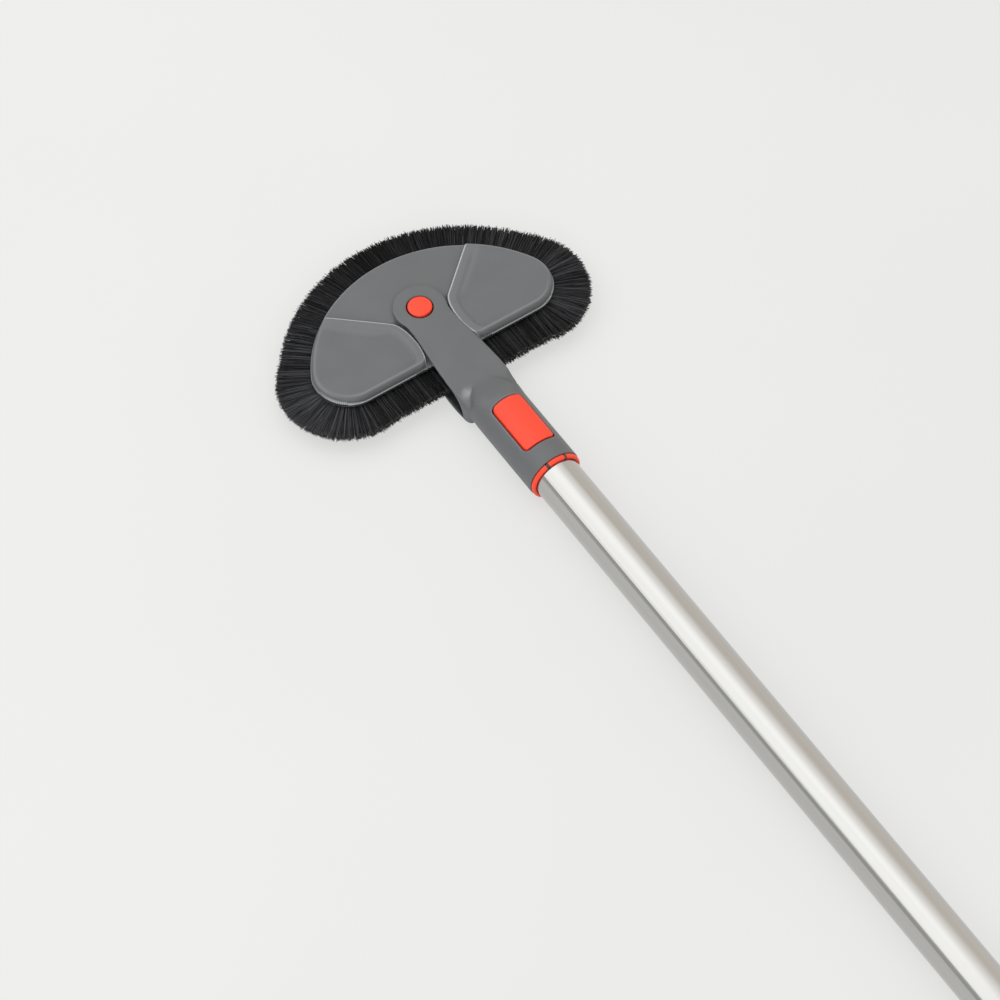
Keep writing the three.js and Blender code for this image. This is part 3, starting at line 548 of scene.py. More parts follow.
def new_piece(name, points, faces, node, sharp=45, slot=None):
    """A piece from points in millimetres, in place of a CAD node. Edges past `sharp` degrees stay crisp."""
    mesh = bpy.data.meshes.new(name)
    placed = np.asarray(points, float) * MM + np.array(PIVOT)
    mesh.from_pydata(placed.tolist(), [], faces)
    mesh.validate()
    form = bmesh.new()
    form.from_mesh(mesh)
    bmesh.ops.recalc_face_normals(form, faces=form.faces)
    form.to_mesh(mesh)
    form.free()
    return dress(smooth_piece(name, mesh, math.radians(sharp)), BODY_OF[node], slot or SLOT_OF[node], node)


def add_values(obj, **layers):
    """Named values on the mesh's points, for the materials."""
    for label, values in layers.items():
        attribute = obj.data.attributes.new(label, "FLOAT", "POINT")
        attribute.data.foreach_set("value", np.asarray(values, np.float32))


def refined(node, round_mm=0):
    """The CAD node's own form with its triangles joined up and its edges softly rounded."""
    form = bmesh.new()
    form.from_mesh(frame["nodes"][node].data)
    bmesh.ops.remove_doubles(form, verts=form.verts, dist=WELD_M)
    bmesh.ops.dissolve_limit(form, angle_limit=FLAT_ANGLE, verts=form.verts, edges=form.edges)
    mesh = bpy.data.meshes.new(node + "_form")
    form.to_mesh(mesh)
    form.free()
    obj = smooth_piece(node + "_form", mesh, EDGE_ANGLE)
    if round_mm:
        bevel = obj.modifiers.new("edges", "BEVEL")
        bevel.width = round_mm * MM
        bevel.segments = 2
        bevel.limit_method = "ANGLE"
        bevel.angle_limit = EDGE_ANGLE
        bevel.harden_normals = True
    return dress(obj, BODY_OF[node], SLOT_OF[node], node)


# Curves and distances
def eased(t):
    """Smooth rise from 0 to 1."""
    t = np.clip(t, 0, 1)
    return t * t * (3 - 2 * t)


def rounded(t):
    """Quarter-round rise from 0 to 1."""
    return np.sqrt(1 - (1 - np.clip(t, 0, 1)) ** 2)


def line(value, place, width, strength=1.0):
    """`strength` where `value` is at `place`, fading out over `width`."""
    return strength * np.exp(-((value - place) / width) ** 2)


def bezier(a, b, c, d, steps):
    t = (np.arange(steps) / steps)[:, None]
    return a * (1 - t) ** 3 + 3 * b * t * (1 - t) ** 2 + 3 * c * t ** 2 * (1 - t) + d * t ** 3


def full_turn(steps):
    return np.linspace(0, 2 * math.pi, steps, endpoint=False)


def segment_distance(p, run):
    """Shortest distance of each point from a run of straight segments."""
    best = np.full(len(p), np.inf)
    for a, b in zip(run[:-1], run[1:]):
        d = b - a
        t = np.clip(((p - a) @ d) / (d @ d), 0, 1)
        best = np.minimum(best, np.hypot(*(p - a - t[:, None] * d).T))
    return best


def within(p, polygon):
    """Whether each point lies inside a closed polygon."""
    inside = np.zeros(len(p), bool)
    for a, b in zip(polygon, np.roll(polygon, -1, axis=0)):
        crosses = (a[1] > p[:, 1]) != (b[1] > p[:, 1])
        with np.errstate(divide="ignore", invalid="ignore"):
            reach = (b[0] - a[0]) * (p[:, 1] - a[1]) / (b[1] - a[1]) + a[0]
        inside ^= crosses & (p[:, 0] < reach)
    return inside


def polygon_distance(p, polygon):
    """Distance of each point from a closed polygon, negative inside it."""
    closed = np.vstack([polygon, polygon[:1]])
    return segment_distance(p, closed) * np.where(within(p, polygon), -1, 1)


def slab_distance(plan, z, low, high, r):
    """Distance from a slab between two levels whose edges are rounded by `r`."""
    a = plan + r
    b = np.abs(z - (low + high) / 2) - (high - low) / 2 + r
    return np.minimum(np.maximum(a, b), 0) + np.hypot(np.maximum(a, 0), np.maximum(b, 0)) - r


def blended(a, b, k):
    """Union of two distances with a fillet of about `k`."""
    h = np.clip(0.5 + 0.5 * (b - a) / k, 0, 1)
    return b + (a - b) * h - k * h * (1 - h)


def cut(a, b, k):
    """Distance `a` with `b` taken out of it and the edge eased by `k`."""
    return -blended(-a, b, k)


# Head outline
def plate_outline(inset):
    """Points round the head's outline, moved inward by `inset`."""
    def arc(cx, cy, r, start, end):
        steps = max(2, math.ceil(r * abs(end - start) / OUTLINE_PITCH))
        turn = start + (end - start) * np.arange(steps) / steps
        return np.column_stack([cx + r * np.cos(turn), cy + r * np.sin(turn)])

    steps = math.ceil(2 * CORNER_X / OUTLINE_PITCH)
    edge_x = -CORNER_X + 2 * CORNER_X * np.arange(steps) / steps
    r = CORNER_R - inset
    return np.vstack([
        np.column_stack([edge_x, np.full(steps, EDGE_Y + inset)]),
        arc(CORNER_X, CORNER_Y, r, -math.pi / 2, CORNER_TURN),
        arc(0, ARC_Y, ARC_R - inset, CORNER_TURN, math.pi - CORNER_TURN),
        arc(-CORNER_X, CORNER_Y, r, math.pi - CORNER_TURN, math.pi * 1.5),
    ])


def inside_rim(p):
    """Distance of each point inside the head's outline."""
    x, y = np.abs(p[:, 0]), p[:, 1]
    turn = np.arctan2(y - CORNER_Y, x - CORNER_X)
    corner = CORNER_R - np.hypot(x - CORNER_X, y - CORNER_Y)
    plain = np.minimum(y - EDGE_Y, ARC_R - np.hypot(x, y - ARC_Y))
    return np.where((turn > -math.pi / 2) & (turn < CORNER_TURN), corner, plain)


def rim_normal(x, y):
    """Outward direction at a point on the head's outline or just inside it."""
    side = abs(x)
    turn = math.atan2(y - CORNER_Y, side - CORNER_X)
    if -math.pi / 2 < turn < CORNER_TURN:
        out = (side - CORNER_X, y - CORNER_Y)
    elif y < CORNER_Y:
        out = (0, -1)
    else:
        out = (side, y - ARC_Y)
    size = math.hypot(*out)
    return math.copysign(out[0] / size, x), out[1] / size


def rim_at(s):
    """Point and outward turn at distance `s` along the right half of the outline."""
    on_corner = s - CORNER_X
    on_arc = on_corner - CORNER_LENGTH
    turn = np.where(on_arc > 0, CORNER_TURN + on_arc / ARC_R, on_corner / CORNER_R - math.pi / 2)
    turn = np.where(on_corner < 0, -math.pi / 2, turn)
    x = np.where(on_arc > 0, ARC_R * np.cos(turn), CORNER_X + CORNER_R * np.cos(turn))
    y = np.where(on_arc > 0, ARC_Y + ARC_R * np.sin(turn), CORNER_Y + CORNER_R * np.sin(turn))
    return np.where(on_corner < 0, s, x), np.where(on_corner < 0, EDGE_Y, y), turn


def near_share(p):
    """1 beside the near edge, easing to 0 round the corners."""
    turn = np.arctan2(p[:, 1] - CORNER_Y, np.maximum(np.abs(p[:, 0]) - CORNER_X, 0))
    return eased(-turn * 2 / math.pi)


# Wings
def wing_edge():
    """The right wing's edge, from beyond the rim along the fan, round the lobe and past the near edge."""
    along = np.array([math.cos(FAN_ANGLE), math.sin(FAN_ANGLE)])
    far = LOBE_FAR + along * FAN_LENGTH
    bend = LOBE_FAR + along * FAN_BEND
    ease = LOBE_FAR - along * FAN_BEND / 2
    third = LOBE + (LOBE_NEAR - LOBE) / 3
    run = far + (bend - far) * (np.arange(FAN_STEPS) / FAN_STEPS)[:, None]
    upper = bezier(bend, ease, LOBE + [0, (LOBE_FAR[1] - LOBE[1]) / 2], LOBE, LOBE_STEPS[0])
    lower = bezier(LOBE, np.array([LOBE[0], third[1]]),
                   np.array([third[0], EDGE_Y + (LOBE[1] - EDGE_Y) / 3]), LOBE_NEAR, LOBE_STEPS[1])
    tail = LOBE_NEAR - np.outer(np.arange(NEAR_OVERRUN), [0, 1.0])
    return np.vstack([run, upper, lower, tail])


WING_EDGE = wing_edge()
WING_FIELD = np.vstack([
    WING_EDGE,
    [[LOBE_NEAR[0], FIELD_Y], [FIELD_X, FIELD_Y], [FIELD_X, WING_EDGE[0][1]]],
])


def inside_wing(p):
    """Distance inside the nearer wing's edge, negative outside it."""
    folded = np.column_stack([np.abs(p[:, 0]), p[:, 1]])
    return segment_distance(folded, WING_EDGE) * np.where(within(folded, WING_FIELD), 1, -1)


def past_lip(p):
    """Distance beyond the wing's upper edge towards the near side, round the lobe's corner too."""
    near = LOBE_CORNER - (inside_rim(p) - WING_INSET - NEAR_RUN)
    side = LOBE_CORNER - inside_wing(p)
    return np.hypot(np.maximum(near, 0), np.maximum(side, 0)) - LOBE_CORNER


# Head shell
def shell_height(p):
    """Upper surface of the head: rounded rim, fan rising to the pivot, and two dished wings."""
    rim, wing, share = inside_rim(p), inside_wing(p), near_share(p)
    r = np.hypot(p[:, 0], p[:, 1])
    base = BASE_TOP - BASE_ROUND * (1 - rounded(rim / BASE_ROUND))
    climb = np.clip((FAN_FOOT_R - r) / (FAN_FOOT_R - HUB_CLEAR_R), 0, 1) ** FAN_CURVE
    fan = FAN_RISE * climb * eased((p[:, 1] - FAN_START_Y) / FAN_START_RUN)
    base = base + np.where(r > HUB_CLEAR_R, fan, 0)
    run = np.clip(past_lip(p) / NEAR_RUN, 0, 1)
    slope = NEAR_SLOPE * run + (1 - NEAR_SLOPE) * (1 - rounded(1 - run))
    roll = 1 - rounded((rim - WING_INSET) / WING_ROUND)
    outer = WING_ROUND * (roll + (slope - roll) * share)
    side = WING_SIDE_ROUND * (1 - rounded(wing / WING_SIDE_ROUND))
    past_band = wing - LIP_WIDTH
    dish = eased(past_band / DISH_RUN) * (1 - DISH_FADE * eased(past_band / DISH_FADE_RUN))
    rim_run = DISH_RIM_RUN + (DISH_NEAR_RUN - DISH_RIM_RUN) * share
    dish = dish * eased((rim - WING_ROUND - DISH_NEAR_GAP * share) / rim_run)
    top = WING_TOP - outer - side - DISH_DEPTH * dish
    return np.where((wing > 0) & (rim > WING_INSET), np.maximum(top, base), base)


def mirrored(rows):
    """Each row of points, and its mirror image beyond the pole's upright plane."""
    return [part for row in rows for part in (row, row * [-1, 1])]


def wing_rows():
    """Rows of points beside the right wing's edge."""
    tangent = np.gradient(WING_EDGE, axis=0)
    normal = np.column_stack([-tangent[:, 1], tangent[:, 0]])
    normal /= np.hypot(*normal.T)[:, None]
    for d in WING_ROWS:
        row = WING_EDGE + normal * d
        clean = np.abs(inside_wing(row) - d) < ROW_SLACK + ROW_SLACK_SHARE * abs(d)
        yield row[clean & (inside_rim(row) > ROW_GAP)]


def grid_points(area, pitch):
    """Evenly spaced points over a rectangle."""
    across, up = np.meshgrid(*(np.arange(*limits, pitch) for limits in area))
    return np.column_stack([across.ravel(), up.ravel()])


def shell_plan():
    """The shell's upper side seen from above: points, and triangles that follow its edges and bends."""
    turn = full_turn(HOLE_STEPS)
    circle = np.column_stack([np.cos(turn), np.sin(turn)])
    outline = plate_outline(0)
    patch = grid_points(LOBE_PATCH, LOBE_PITCH)
    plain = grid_points(GRID, GRID_PITCH)
    wing = inside_wing(plain)
    clear = (inside_rim(plain) > GRID_FROM_RIM) & (np.hypot(*plain.T) > GRID_FROM_HUB)
    clear &= (wing < GRID_FROM_WING[0]) | (wing > GRID_FROM_WING[1])
    points = np.vstack([
        outline,
        circle * BUSH_HOLE_R,
        *(plate_outline(d) for d in RIM_ROWS),
        *mirrored(wing_rows()),
        *(circle * r for r in HUB_ROWS),
        *mirrored([patch[inside_wing(patch) > ROW_GAP]]),
        plain[clear],
    ])
    n, m = len(outline), len(circle)
    edges = [(i, (i + 1) % n) for i in range(n)] + [(n + i, n + (i + 1) % m) for i in range(m)]
    flat, _, faces, *_ = delaunay_2d_cdt([Vector(p) for p in points], edges, [], 0, WELD)
    plan = np.array([tuple(p) for p in flat])
    middle = np.array([plan[f].mean(0) for f in faces])
    kept = (np.hypot(*middle.T) > BUSH_HOLE_R * HOLE_INSIDE) & (inside_rim(middle) > -RIM_SLACK)
    return plan, [f for f, k in zip(faces, kept) if k]


def extruded(form, edges):
    """New points and edges of a border after it is drawn out."""
    grown = bmesh.ops.extrude_edge_only(form, edges=edges)["geom"]
    return ([g for g in grown if isinstance(g, bmesh.types.BMVert)],
            [g for g in grown if isinstance(g, bmesh.types.BMEdge)])


def closed_shell(top, top_faces):
    """Closes the shell: its rim rounds back under to a flat floor, and the bush's hole goes through."""
    form = bmesh.new()
    placed = [form.verts.new(p) for p in top]
    for f in top_faces:
        form.faces.new([placed[i] for i in f])
    border = [edge for edge in form.edges if edge.is_boundary]
    hole = [edge for edge in border if math.hypot(*edge.verts[0].co.xy) < BUSH_HOLE_R * HOLE_BESIDE]
    rim = [edge for edge in border if edge not in hole]
    reached = 0.0
    for turn in np.linspace(0, math.pi / 2, UNDER_STEPS + 1):
        inset = BASE_ROUND * (1 - math.cos(turn))
        level = BASE_BOTTOM + BASE_ROUND * (1 - math.sin(turn))
        verts, rim = extruded(form, rim)
        for v in verts:
            out_x, out_y = rim_normal(v.co.x, v.co.y)
            v.co -= Vector((out_x, out_y, 0)) * (inset - reached)
            v.co.z = level
        reached = inset
    verts, hole = extruded(form, hole)
    for v in verts:
        v.co.z = BASE_BOTTOM
    bmesh.ops.triangle_fill(form, use_beauty=True, edges=rim + hole)
    form.verts.index_update()
    points = np.array([tuple(v.co) for v in form.verts])
    faces = [[v.index for v in f.verts] for f in form.faces]
    form.free()
    return points, faces


def shell_tones(points):
    """Painted highlights along edges and painted shade in grooves and recesses, at each point of the head's shell.
    """
    plan, z = points[:, :2], points[:, 2]
    wing, rim, share, beyond = inside_wing(plan), inside_rim(plan), near_share(plan), past_lip(plan)
    raised = (z > BASE_TOP + RAISED_BY) & (rim > WING_INSET)
    corner = 4 * share * (1 - share)
    # Painted highlights: along the wing's edge, its near ridge, the rim's lip, the far lip and the band inside the
    # wing's edge
    brow = line(wing, *BROW) * eased((rim - BROW_RIM[0]) / BROW_RIM[1]) * raised
    ridge = line(beyond, *RIDGE) * share * raised
    lip = line(rim, *LIP) * (rim > RIM_LINE) * np.minimum(LIP_LEAST + LIP_CORNER * corner, 1)
    far_lip = np.where(wing > 0, line(rim, *FAR_LIP_WING), line(rim, *FAR_LIP_FAN)) * (1 - share) * (z > 0)
    wide = LIP_WIDTH + BAND_WIDER * eased((np.abs(plan[:, 0]) - BAND_WIDER_X[0]) / BAND_WIDER_X[1])
    band = eased(wing / BAND_EDGE) * (1 - eased((wing - wide) / DISH_RUN))
    band = band * eased((rim - BAND_RIM[0]) / BAND_RIM[1]) * raised
    # Painted shade: the groove by the corner, the near wall, the foot of the wing's edge and the rim's side
    groove = line(rim, *GROOVE) * corner * (z > 0)
    wall = np.clip(beyond / NEAR_RUN, 0, 1) * np.sqrt(share) * raised
    foot = line(wing, *FOOT) * (rim > FOOT_RIM)
    return {"edge": np.max([brow, ridge, lip, FAR_LIP_TONE * far_lip, BAND_TONE * band], axis=0),
            "painted_shade": np.max([groove, WALL_TONE * wall, foot, 1.0 * (rim < RIM_LINE)], axis=0)}


def head_shell():
    """Upper shell of the head, with its fan and its two wings."""
    plan, top_faces = shell_plan()
    points, faces = closed_shell(np.column_stack([plan, shell_height(plan)]), top_faces)
    obj = new_piece("head_shell", points, faces, "upper_shell", sharp=50)
    add_values(obj, **shell_tones(points))


# Bristles
def fringe_reach(s):
    """Length of the strands past the rim: longer round the corners."""
    return STRAND_REACH + CORNER_REACH * np.maximum(0, 1 - ((s - CORNER_MIDDLE) / CORNER_RUN) ** 2)


def fringe_core(start, end):
    """Dark, closed heart of the fringe that the loose strands stand around."""
    s = np.linspace(start, end, math.ceil(end - start) + 1)
    x, y, turn = rim_at(s)
    tip = STRAND_ROOT + (fringe_reach(s) - STRAND_ROOT) * CORE_SHARE
    root_z = (FRINGE_TOP + FRINGE_BOTTOM) / 2
    tip_z = root_z + ((TIP_TOP + TIP_BOTTOM) / 2 - root_z) * CORE_FALL
    corners = ((STRAND_ROOT, root_z - CORE_HALF), (tip, tip_z - CORE_HALF),
               (tip, tip_z + CORE_HALF), (STRAND_ROOT, root_z + CORE_HALF))
    rows = [np.column_stack([x + along * np.cos(turn), y + along * np.sin(turn), np.full(len(s), z)])
            for along, z in corners]
    points = np.stack(rows, 1).reshape(-1, 3)
    last = 4 * (len(s) - 1)
    faces = [(0, 1, 2, 3), (last + 3, last + 2, last + 1, last)]
    for i in range(0, last, 4):
        for c in range(4):
            d = (c + 1) % 4
            faces.append((i + c, i + 4 + c, i + 4 + d, i + d))
    return points, faces


def strand_runs(start, end, side):
    """Middle lines of the strands: their places at each share of the length, and their outward turns."""
    fine = np.linspace(start, end, CROWD_STEPS)
    turning = (fine > CORNER_X) & (fine < CORNER_X + CORNER_LENGTH)
    crowd = np.cumsum(1 + CORNER_CROWD * turning)
    count = int((end - start) * STRANDS_PER_MM * crowd[-1] / len(fine))
    place = (np.arange(count) + RANDOM.uniform(*PLACE_SPREAD, count)) / count
    s = np.interp(place, crowd / crowd[-1], fine)
    clump = (s / CLUMP).astype(int) - int(start / CLUMP)
    clumps = clump.max() + 1
    lean = RANDOM.normal(0, CLUMP_LEAN, clumps)[clump] + RANDOM.normal(0, STRAND_LEAN, count)
    short = np.abs(RANDOM.normal(0, CLUMP_SHORT, clumps))[clump]
    short = short + np.abs(RANDOM.normal(0, STRAND_SHORT, count))
    short = short + RAGGED * (1 - RANDOM.uniform(0, 1, count) ** RAGGED_POWER)
    level = RANDOM.uniform(0, 1, count)
    tip_level = np.clip(level + RANDOM.normal(0, TIP_SCATTER, count), 0, 1)
    droop = RANDOM.normal(0, DROOP, count)
    x, y, turn = rim_at(s)
    root_z = FRINGE_BOTTOM + (FRINGE_TOP - FRINGE_BOTTOM) * level
    tip_z = TIP_BOTTOM + (TIP_TOP - TIP_BOTTOM) * tip_level
    reach = fringe_reach(s) + LONGEST - short + NEAR_UNEVEN * side * np.maximum(-np.sin(turn), 0)
    rings = []
    for share, _ in STRAND_RINGS:
        along = STRAND_ROOT + (reach - STRAND_ROOT) * share
        sway = turn + lean * share
        z = root_z + (tip_z - root_z) * share ** TIP_CURVE + droop * math.sin(math.pi * share)
        rings.append(np.column_stack([x + along * np.cos(sway), y + along * np.sin(sway), z]))
    return rings, turn


def strand_tubes(rings, turn):
    """A thin tapered tube along each strand."""
    count, n = len(turn), STRAND_SIDES
    per_strand = n * len(rings)
    cross = np.column_stack([-np.sin(turn), np.cos(turn), np.zeros(count)])
    spin = RANDOM.uniform(0, 2 * math.pi, count)
    points = np.empty((count, per_strand, 3))
    for k, (ring, (_, taper)) in enumerate(zip(rings, STRAND_RINGS)):
        for c in range(n):
            a = spin + 2 * math.pi * c / n
            points[:, n * k + c] = ring + cross * (STRAND_R * taper * np.cos(a))[:, None]
            points[:, n * k + c, 2] += STRAND_R * taper * np.sin(a)
    last = per_strand - n
    tube = [(k + c, k + (c + 1) % n, k + n + (c + 1) % n, k + n + c)
            for k in range(0, last, n) for c in range(n)]
    tube += [tuple(range(last, per_strand)), tuple(reversed(range(n)))]
    firsts = range(0, count * per_strand, per_strand)
    faces = [tuple(first + v for v in f) for first in firsts for f in tube]
    return points.reshape(-1, 3), faces


def strand_tones(turn, side):
    """Tone of each strand, with painted sheen that follows the way it points, and of its cut end, at every point
    of its tube.
    """
    n, count = STRAND_SIDES, len(turn)
    last = n * (len(STRAND_RINGS) - 1)
    # Painted sheen: paler towards the head's two ends, most at the left end, and towards the near side
    painted_sheen = TONE_ALL - TONE_NEAR * np.sin(turn) + (TONE_SIDES - TONE_LEFT * side) * np.cos(turn)
    tone = painted_sheen * (TONE_LEAST + TONE_SPREAD * RANDOM.uniform(0, 1, count) ** TONE_POWER)
    cut_end = RANDOM.uniform(0, 1, count) * (1 - np.sin(turn)) / 2
    return np.repeat(tone, last + n), np.repeat(cut_end, last + n) * np.tile([0] * last + [1] * n, count)


def bristles(name, node, side, far):
    """A dense quarter of the fringe: thin bent strands with ragged tips."""
    middle = CORNER_X + CORNER_R * math.pi / 2
    start, end = (middle, HALF_LENGTH) if far else (0.0, middle)
    rings, turn = strand_runs(start, end, side)
    points, faces = strand_tubes(rings, turn)
    core_points, core_faces = fringe_core(start, end)
    faces += [tuple(len(points) + v for v in f) for f in core_faces]
    obj = new_piece(name, np.vstack([points, core_points]) * [side, 1, 1], faces, node, sharp=60)
    core = np.zeros(len(core_points))
    tone, cut_end = strand_tones(turn, side)
    add_values(obj, tone=np.append(tone, core), end=np.append(cut_end, core))


# Forked arm: distances from its surfaces, blended where the moulding has fillets
def arm_outline():
    """The arm from above: round end over the pivot, waist, wide flanks and rounded back corners."""
    start = np.array([TONGUE_END_R * math.cos(TONGUE_LEAVE), -TONGUE_END_R * math.sin(TONGUE_LEAVE)])
    wide = np.array([ARM_HALF, FORK_ROOT_Y * ARM_WIDE_SHARE])
    corner = np.array([ARM_HALF, FORK_BACK_Y + ARM_CORNER])
    back = np.array([SOCKET_R - ARM_CORNER / 2, FORK_BACK_Y])
    turn = np.linspace(-TONGUE_LEAVE, math.pi / 2, END_STEPS)
    end = np.column_stack([TONGUE_END_R * np.cos(turn), TONGUE_END_R * np.sin(turn)])
    heel = bezier(back, np.array([SOCKET_R, FORK_BACK_Y]),
                  np.array([ARM_HALF, FORK_BACK_Y + ARM_CORNER / 3]), corner, HEEL_STEPS)
    flank = bezier(wide, np.array([ARM_HALF - ARM_TAPER, (start[1] + wide[1]) / 2]),
                   np.array([WAIST_X, start[1] - (start[1] - wide[1]) / 6]), start, FLANK_STEPS)
    right = np.vstack([heel, corner[None], flank, end])
    return np.vstack([right, right[-2::-1] * [-1, 1]])


def button_outline(grow):
    """The thumb button from above, larger by `grow`: rounded corners and slightly bowed ends."""
    half, r = BUTTON_HALF + grow, BUTTON_CORNER + grow
    front, back = BUTTON_FRONT_Y + grow, BUTTON_BACK_Y - grow

    def curve(a, b, c):
        t = (np.arange(BUTTON_STEPS) / BUTTON_STEPS)[:, None]
        return np.array(a) * (1 - t) ** 2 + 2 * np.array(b) * t * (1 - t) + np.array(c) * t ** 2

    return np.vstack([
        curve((-half, back + r), (-half, back), (-half + r, back)),
        curve((-half + r, back), (0, back - BUTTON_BOW), (half - r, back)),
        curve((half - r, back), (half, back), (half, back + r)),
        [[half, back + r]],
        curve((half, front - r), (half, front), (half - r, front)),
        curve((half - r, front), (0, front + 2 * BUTTON_BOW), (-half + r, front)),
        curve((-half + r, front), (-half, front), (-half, front - r)),
        [[-half, front - r]],
    ])


def socket_distance(x, y, z):
    """A flat oval that grows out of the fork and turns into a round tube."""
    grown = eased((NOSE_Y - y) / (NOSE_Y - NOSE_END_Y))
    narrow = (1 - eased((NOSE_Y - y) / NOSE_RUN)) * eased(z / NOSE_DEPTH)
    half = SOCKET_R - (SOCKET_R - NOSE_HALF) * narrow
    nose = np.where(z > 0, TONGUE_TOP - NOSE_SINK, -PRONG_BOTTOM - NOSE_SINK)
    height = nose + (SOCKET_R - nose) * grown
    power = np.where(z > 0, NOSE_POWER + (ROUND_POWER - NOSE_POWER) * grown, ROUND_POWER)
    oval = (np.abs(x / half) ** power + np.abs(z / height) ** power) ** (1 / power)
    socket = np.maximum(np.hypot(x, z) * (1 - 1 / np.maximum(oval, TINY)), y - NOSE_Y)
    return cut(socket, y - SOCKET_MOUTH_Y, MOUTH_ROUND)


def fork_distance(plan, y, z):
    """Tongue and prong as one thick slab, with rounder edges above and below towards the socket."""
    settle = eased((SETTLE_Y - y) / SETTLE_RUN)
    shoulder = ARM_ROUND + (SHOULDER_ROUND - ARM_ROUND) * settle
    heel = ARM_ROUND + (HEEL_ROUND - ARM_ROUND) * settle
    return np.maximum(slab_distance(plan, z, PRONG_BOTTOM - BEYOND, TONGUE_TOP, shoulder),
                      slab_distance(plan, z, PRONG_BOTTOM, TONGUE_TOP + BEYOND, heel))


def slot_distance(y, z):
    """The gap between tongue and prong, whose rear end curves up to the tongue."""
    back = np.minimum(y - FORK_ROOT_Y - SLOT_RUN, 0)
    rise = z - PRONG_TOP
    bend = np.hypot(back / SLOT_RUN, rise / (TONGUE_LOW - PRONG_TOP))
    return np.maximum(np.hypot(back, rise) * (1 - 1 / np.maximum(bend, TINY)), -rise)


def arm_distance(x, y, z, plan, window):
    """The whole moulding: fork and socket, spine and hub under the tongue, and every hole."""
    from_pin = np.hypot(x, y)
    body = blended(fork_distance(plan, y, z), socket_distance(x, y, z), FORK_FILLET)
    body = cut(body, slot_distance(y, z), SLOT_EASE)
    beside_spine = np.maximum(np.abs(x) - SPINE_HALF, np.maximum(y, FORK_ROOT_Y - y))
    for beside in (beside_spine, from_pin - HUB_R):
        body = np.minimum(body, slab_distance(beside, z, HUB_LOW, TONGUE_LOW + SPINE_SINK, SPINE_ROUND))
    body = cut(body, np.maximum(from_pin - PIVOT_WELL_R, PIVOT_SEAT_Z - z), WELL_EASE)
    body = cut(body, from_pin - AXLE_HOLE_R, HOLE_EASE)
    bore_r = np.where(y < COLLET_STEP_Y, COLLET_BORE_R, BORE_R)
    body = cut(body, np.maximum(np.hypot(x, z) - bore_r, y - SOCKET_STOP_Y), BORE_EASE)
    return cut(body, np.maximum(window, -z), WINDOW_EASE)


def arm_tones(points):
    """Painted highlight on the left shoulder's facet and round the button's window, painted shade inside the slot.
    """
    plan, y, z = points[:, :2], points[:, 1], points[:, 2]
    crease = (FACET_TO - FACET_FROM) / np.hypot(*(FACET_TO - FACET_FROM))
    along, off = (plan - FACET_FROM) @ crease, (plan - FACET_FROM) @ [crease[1], -crease[0]]
    # Painted highlight on the shoulder's facet
    facet = eased(off / FACET_EDGE) * (1 - eased((off - FACET_WIDTH) / FACET_FADE))
    facet = facet * line(along, *FACET_ALONG) * (z > FACET_ABOVE)
    # Painted highlight round the button's window
    window = polygon_distance(plan, button_outline(BUTTON_GAP))
    window_edge = line(window, *WINDOW_EDGE) * (z > WINDOW_ABOVE)
    # Painted shade inside the slot between tongue and prong
    climb = np.clip((z - PRONG_TOP) / (TONGUE_LOW - PRONG_TOP), 0, 1)
    slot_end = FORK_ROOT_Y + SLOT_RUN * (1 - rounded(1 - climb))
    inside = (z > PRONG_TOP - SLOT_MARGIN) & (z < TONGUE_LOW + SLOT_MARGIN_TOP)
    inside &= y > slot_end - SLOT_MARGIN_BACK
    return {"edge": np.maximum(facet, window_edge), "painted_shade": SLOT_DARK * inside}


def arm():
    """Forked arm and socket as one moulding, sampled on a fine grid."""
    xs, ys, zs = (np.arange(*limits, VOXEL) for limits in ARM_BOX)
    flat = np.stack(np.meshgrid(xs, ys, indexing="ij"), -1).reshape(-1, 2)
    shape = (len(xs), len(ys), 1)
    plan = polygon_distance(flat, arm_outline()).reshape(shape)
    window = polygon_distance(flat, button_outline(BUTTON_GAP)).reshape(shape)
    body = arm_distance(xs[:, None, None], ys[None, :, None], zs[None, None, :], plan, window)
    grid = openvdb.FloatGrid(SKIN)
    grid.copyFromArray(np.clip(body, -SKIN, SKIN).astype(np.float32))
    grid.transform = openvdb.createLinearTransform(voxelSize=VOXEL)
    points, triangles, quads = grid.convertToPolygons(isovalue=0.0, adaptivity=FLATNESS)
    points = points + np.array([xs[0], ys[0], zs[0]])
    obj = new_piece("arm", points, [*triangles.tolist(), *quads.tolist()], "arm_fork", sharp=60)
    add_values(obj, **arm_tones(points))


# Turned pieces on the pole
def turned(profile, steps):
    """A closed profile of radii and places turned round the pole, pressed flat on the ground."""
    turn = full_turn(steps)
    points = [np.column_stack([r * np.cos(turn), np.full(steps, y), np.maximum(r * np.sin(turn), GROUND_Z)])
              for r, y in profile]
    rows = len(profile)
    faces = []
    for k in range(rows):
        a, b = k * steps, (k + 1) % rows * steps
        for i in range(steps):
            j = (i + 1) % steps
            faces.append((a + i, a + j, b + j, b + i))
    return np.vstack(points), faces


